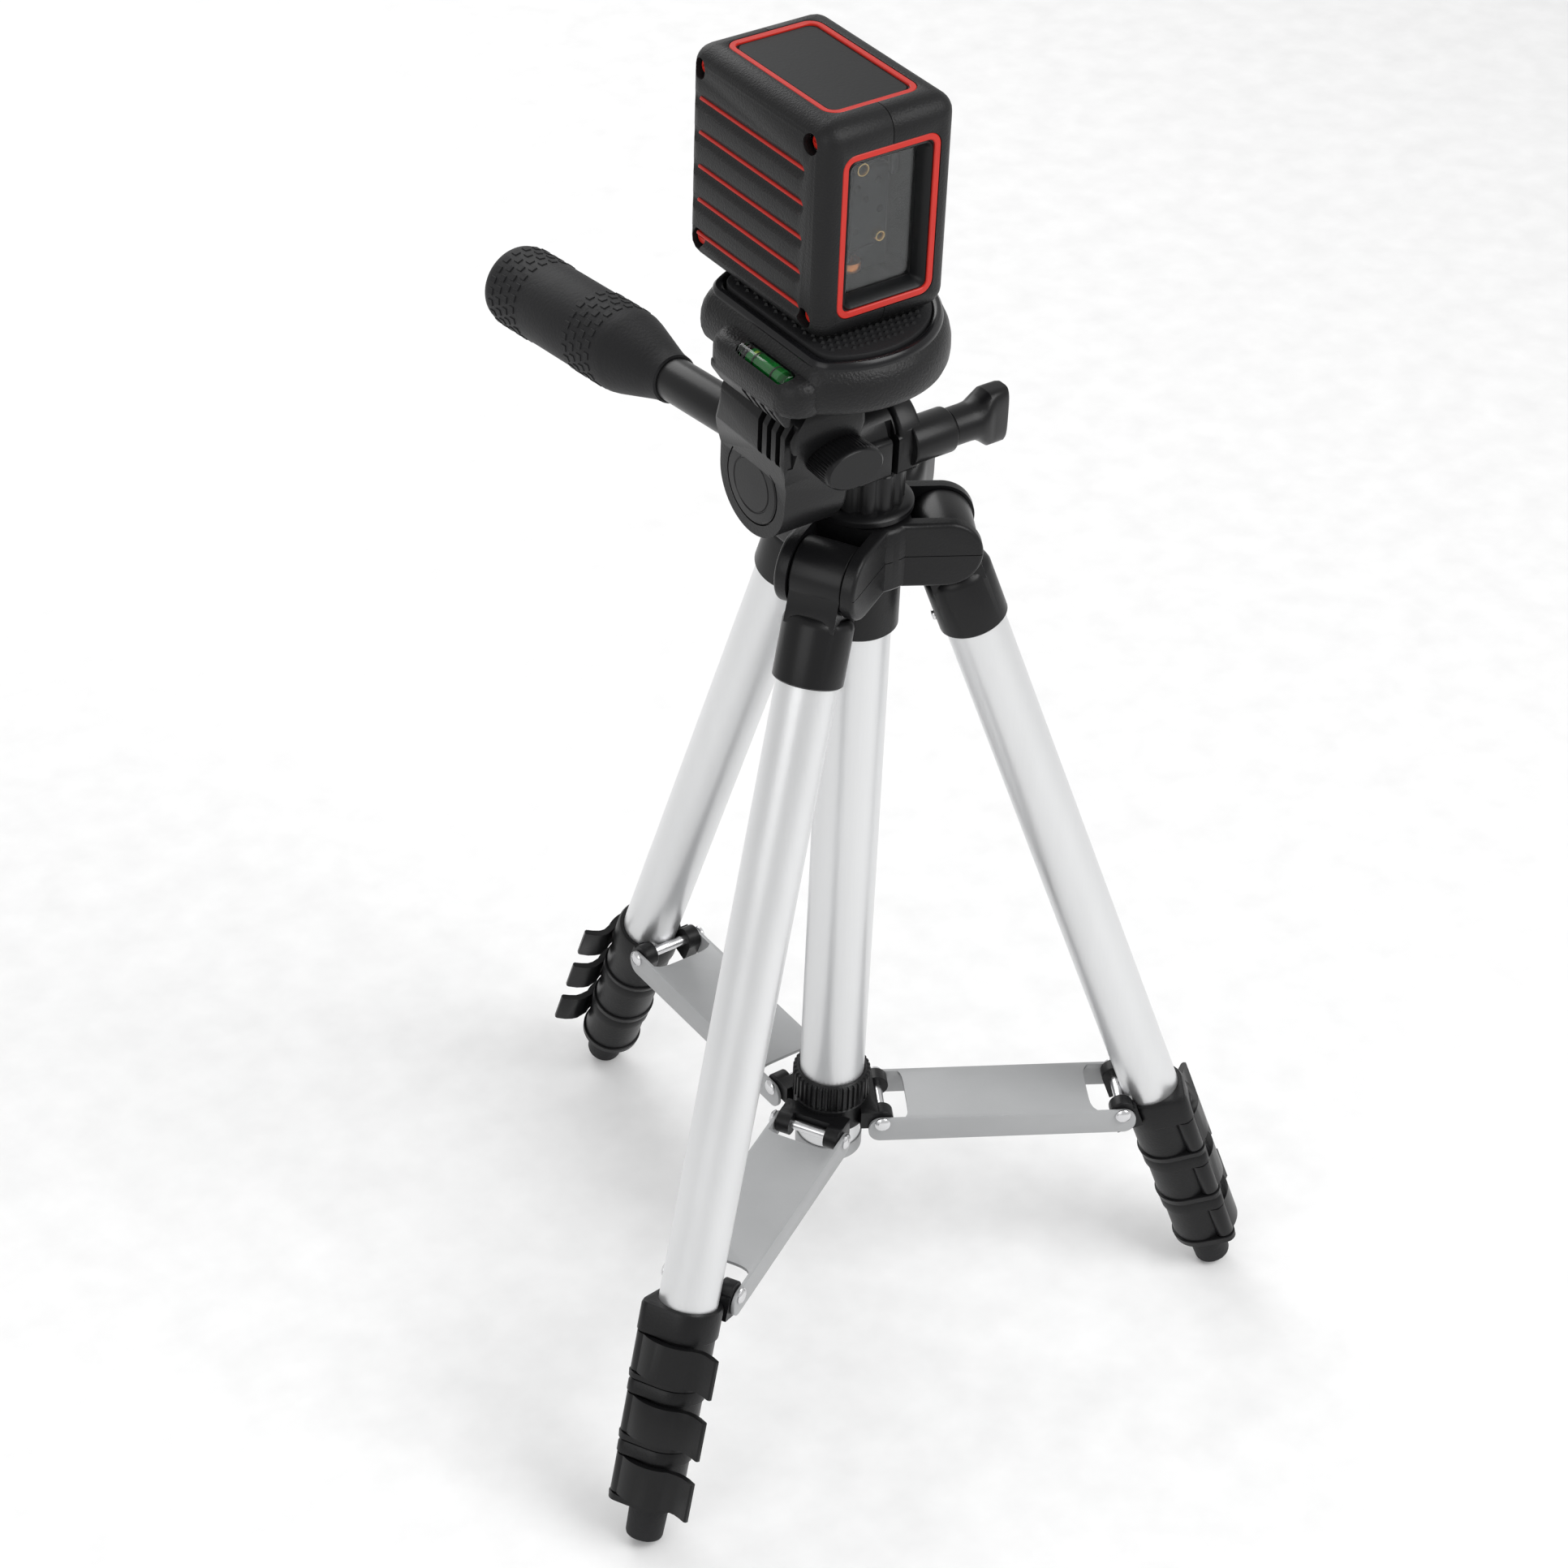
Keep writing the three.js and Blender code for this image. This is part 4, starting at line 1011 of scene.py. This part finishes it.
def shoulder():
    """The platform's left shoulder, with the vial's pocket and the tops of the slots."""
    block = contour("shoulder", outline_rect(-50.3, -30, -34, 12.5, 8), [
        (2.4, 366.6), (0.8, 367.2), (0, 368.8), (0, 373.6), (0.7, 375.8), (2.2, 377.2), (4.2, 377.7)])
    sloped = [(-50.2, 370), (-50.2, 367.4), (-46.4, 361.7), (-44.7, 361.7), (-44.7, 370)]
    apron = slab("apron", sloped, -8.5, 23.8, UPRIGHT)
    round_edges(apron, 0.9, 3, 30)
    combine(block, [apron], "UNION")
    pocket = slab("pocket", outline_rect(-49.1, -24.0, -43.2, -0.8, 2.2), 373.2, 380)
    slots = [brick("slot", (-52, y, 358), (-44.2, y + SLOT_WIDE, 367.6)) for y in SLOT_STARTS]
    combine(block, [pocket] + slots)
    finish_piece(block, "platform", PEBBLE)


def flip_tongue():
    """The round that the platform flips on, with the fingers that pass through the open slots."""
    axis = joint_place("flip")
    tongue = pin("flip_tongue", (axis.x, -15, axis.z), (axis.x, 6, axis.z), 4.2, 0.2, 48)
    fingers = [brick("finger", (axis.x - 1.4, y + 0.2, axis.z), (axis.x + 1.4, y + 2.0, 368))
               for y in OPEN_SLOTS]
    combine(tongue, fingers, "UNION")
    finish_piece(tongue, "platform", BLACK)


def diamond(x, y, z, half):
    """Four level corners round a point."""
    return [(x - half, y, z), (x, y - half, z), (x + half, y, z), (x, y + half, z)]


def pad_studs():
    """The small pyramids of the rubber pad, in staggered rows."""
    cx, cy = PLATE_CENTRE
    verts, faces = [], []
    for i in range(-14, 15):
        for j in range(-14, 15):
            x, y = cx + (i + 0.5 * (j % 2)) * STUD_PITCH, cy + j * STUD_PITCH
            if math.hypot(x - cx, y - cy) > 27.2 or x < -34.8:
                continue
            base = len(verts)
            verts += diamond(x, y, 383.2, 0.9) + diamond(x, y, 384.05, 0.35)
            faces += [tuple(base + k for k in face) for face in BLOCK_FACES]
    finish_piece(put("pad_studs", verts, faces), "platform", RUBBER)


def platform():
    """The camera platform's bowl, its glossy rim and its rubber pad."""
    body = contour("platform_body", plate_outline(36, -43.5), [
        (5, 366.6), (2.2, 366.8), (0.9, 367.8), (0.2, 369.6), (0, 371.6), (0.1, 374.4), (0.7, 377),
        (1.8, 379.2), (3.2, 380.6)])
    finish_piece(body, "platform", PEBBLE, ["head_platform"])
    shoulder()
    flip_tongue()
    rim = contour("plate_rim", plate_outline(33.4, -40.4), [
        (0.2, 379), (0, 380.6), (0.2, 381.6), (0.9, 382.4), (1.8, 382.6), (2.8, 382.3), (3.4, 381.6),
        (3.6, 380.6), (3.6, 379)], closed=True)
    finish_piece(rim, "platform", GLOSS, ["mount_plate"])
    pad = contour("textured_pad", plate_outline(30.0, -36.9), [
        (0.2, 379), (0, 382.6), (0.3, 383.1), (0.9, 383.3)])
    finish_piece(pad, "platform", RUBBER, ["plate_pad"])
    pad_studs()


def vial():
    """A clear tube of green liquid with its bubble between two lines."""
    x, z, r = -45.7, 375.6, 2.7
    glass = pin("vial_glass", (x, -23.6, z), (x, -1.2, z), r, 0.6, 48)
    finish_piece(glass, "platform", WINDOW, ["bubble_vial"])
    liquid = pin("vial_liquid", (x, -20.6, z), (x, -5.4, z), r - 0.4, 0.5, 48)
    finish_piece(liquid, "platform", GREEN)
    band = [(r - 0.4, -0.2), (r + 0.06, -0.2), (r + 0.06, 0.2), (r - 0.4, 0.2)]
    for i, y in enumerate((-17.6, -8.8)):
        place = frame_at((x, y, z), (1, 0, 0), (0, 0, -1), (0, 1, 0))
        line = lathe(f"vial_line_{i + 1}", band, place, 48, closed=True)
        finish_piece(line, "platform", LIQUID_LINE)
    bubble = pin("vial_air", (x, -9.6, z + 1.2), (x, -6.6, z + 1.2), 1.25, 1.0, 32)
    finish_piece(bubble, "platform", BUBBLE)


knobs()
handle()
pan_base()
tilt_housing()
platform()
vial()

# ---- small pieces that keep their CAD shape ----
ROUNDED = {
    "plate_screw": (0.3, STEEL), "laser_battery_cover": (0.3, CASE), "laser_battery_left": (0.5, STEEL),
    "laser_battery_right": (0.5, STEEL), "laser_lock_switch": (0.3, RUBBER),
}
for node, (width, mat) in ROUNDED.items():
    from_cad(node, width, mat)


# ---- floor, light and camera ----
def stage():
    """A wide pale floor just under the rubber feet."""
    size = 3.0
    z = FLOOR - 0.0002
    mesh = bpy.data.meshes.new("floor")
    corners = [(-size, -size, z), (size, -size, z), (size, size, z), (-size, size, z)]
    mesh.from_pydata(corners, [], [(0, 1, 2, 3)])
    floor = bpy.data.objects.new("floor", mesh)
    bpy.context.scene.collection.objects.link(floor)
    mesh.materials.append(material("pale_floor", (0.9, 0.9, 0.9), 0.6))


def area_light(name, place, aim, size, watts):
    """A square light at one place that faces another, both in metres."""
    data = bpy.data.lights.new(name, "AREA")
    data.size = size
    data.energy = watts
    light = bpy.data.objects.new(name, data)
    bpy.context.scene.collection.objects.link(light)
    light.location = place
    light.rotation_euler = (Vector(aim) - Vector(place)).to_track_quat("-Z", "Y").to_euler()


def lights():
    """A soft white world with three large lights."""
    world = bpy.data.worlds.new("soft_white")
    world.use_nodes = True
    background = world.node_tree.nodes["Background"]
    background.inputs["Color"].default_value = (1, 1, 1, 1)
    background.inputs["Strength"].default_value = 0.62
    bpy.context.scene.world = world
    aim = (0, 0, 0.3)
    area_light("key", (0.5, -1.0, 1.3), aim, 0.9, 13)
    area_light("left_fill", (-1.3, -0.5, 0.9), aim, 1.0, 5)
    area_light("rear", (0.2, 1.3, 1.1), aim, 1.0, 8)
    bpy.context.scene.view_settings.view_transform = "Standard"


def camera():
    """The camera stands on the front left of the column and looks down at it."""
    right = Vector((0.81032, -0.58499, 0.03424))
    up = Vector((0.32741, 0.50042, 0.80149))
    back = right.cross(up)
    data = bpy.data.cameras.new("camera")
    data.sensor_width = 36
    data.lens = 88.3
    data.clip_start = 0.01
    cam = bpy.data.objects.new("camera", data)
    bpy.context.scene.collection.objects.link(cam)
    turn = Matrix.Rotation(math.radians(0.6), 4, "Z")
    where = turn @ frame_at((-592.93, -746.36, 914.8), right, up, back)
    where.translation = where.translation * MM + AXIS
    cam.matrix_world = where
    bpy.context.scene.camera = cam


stage()
lights()
camera()
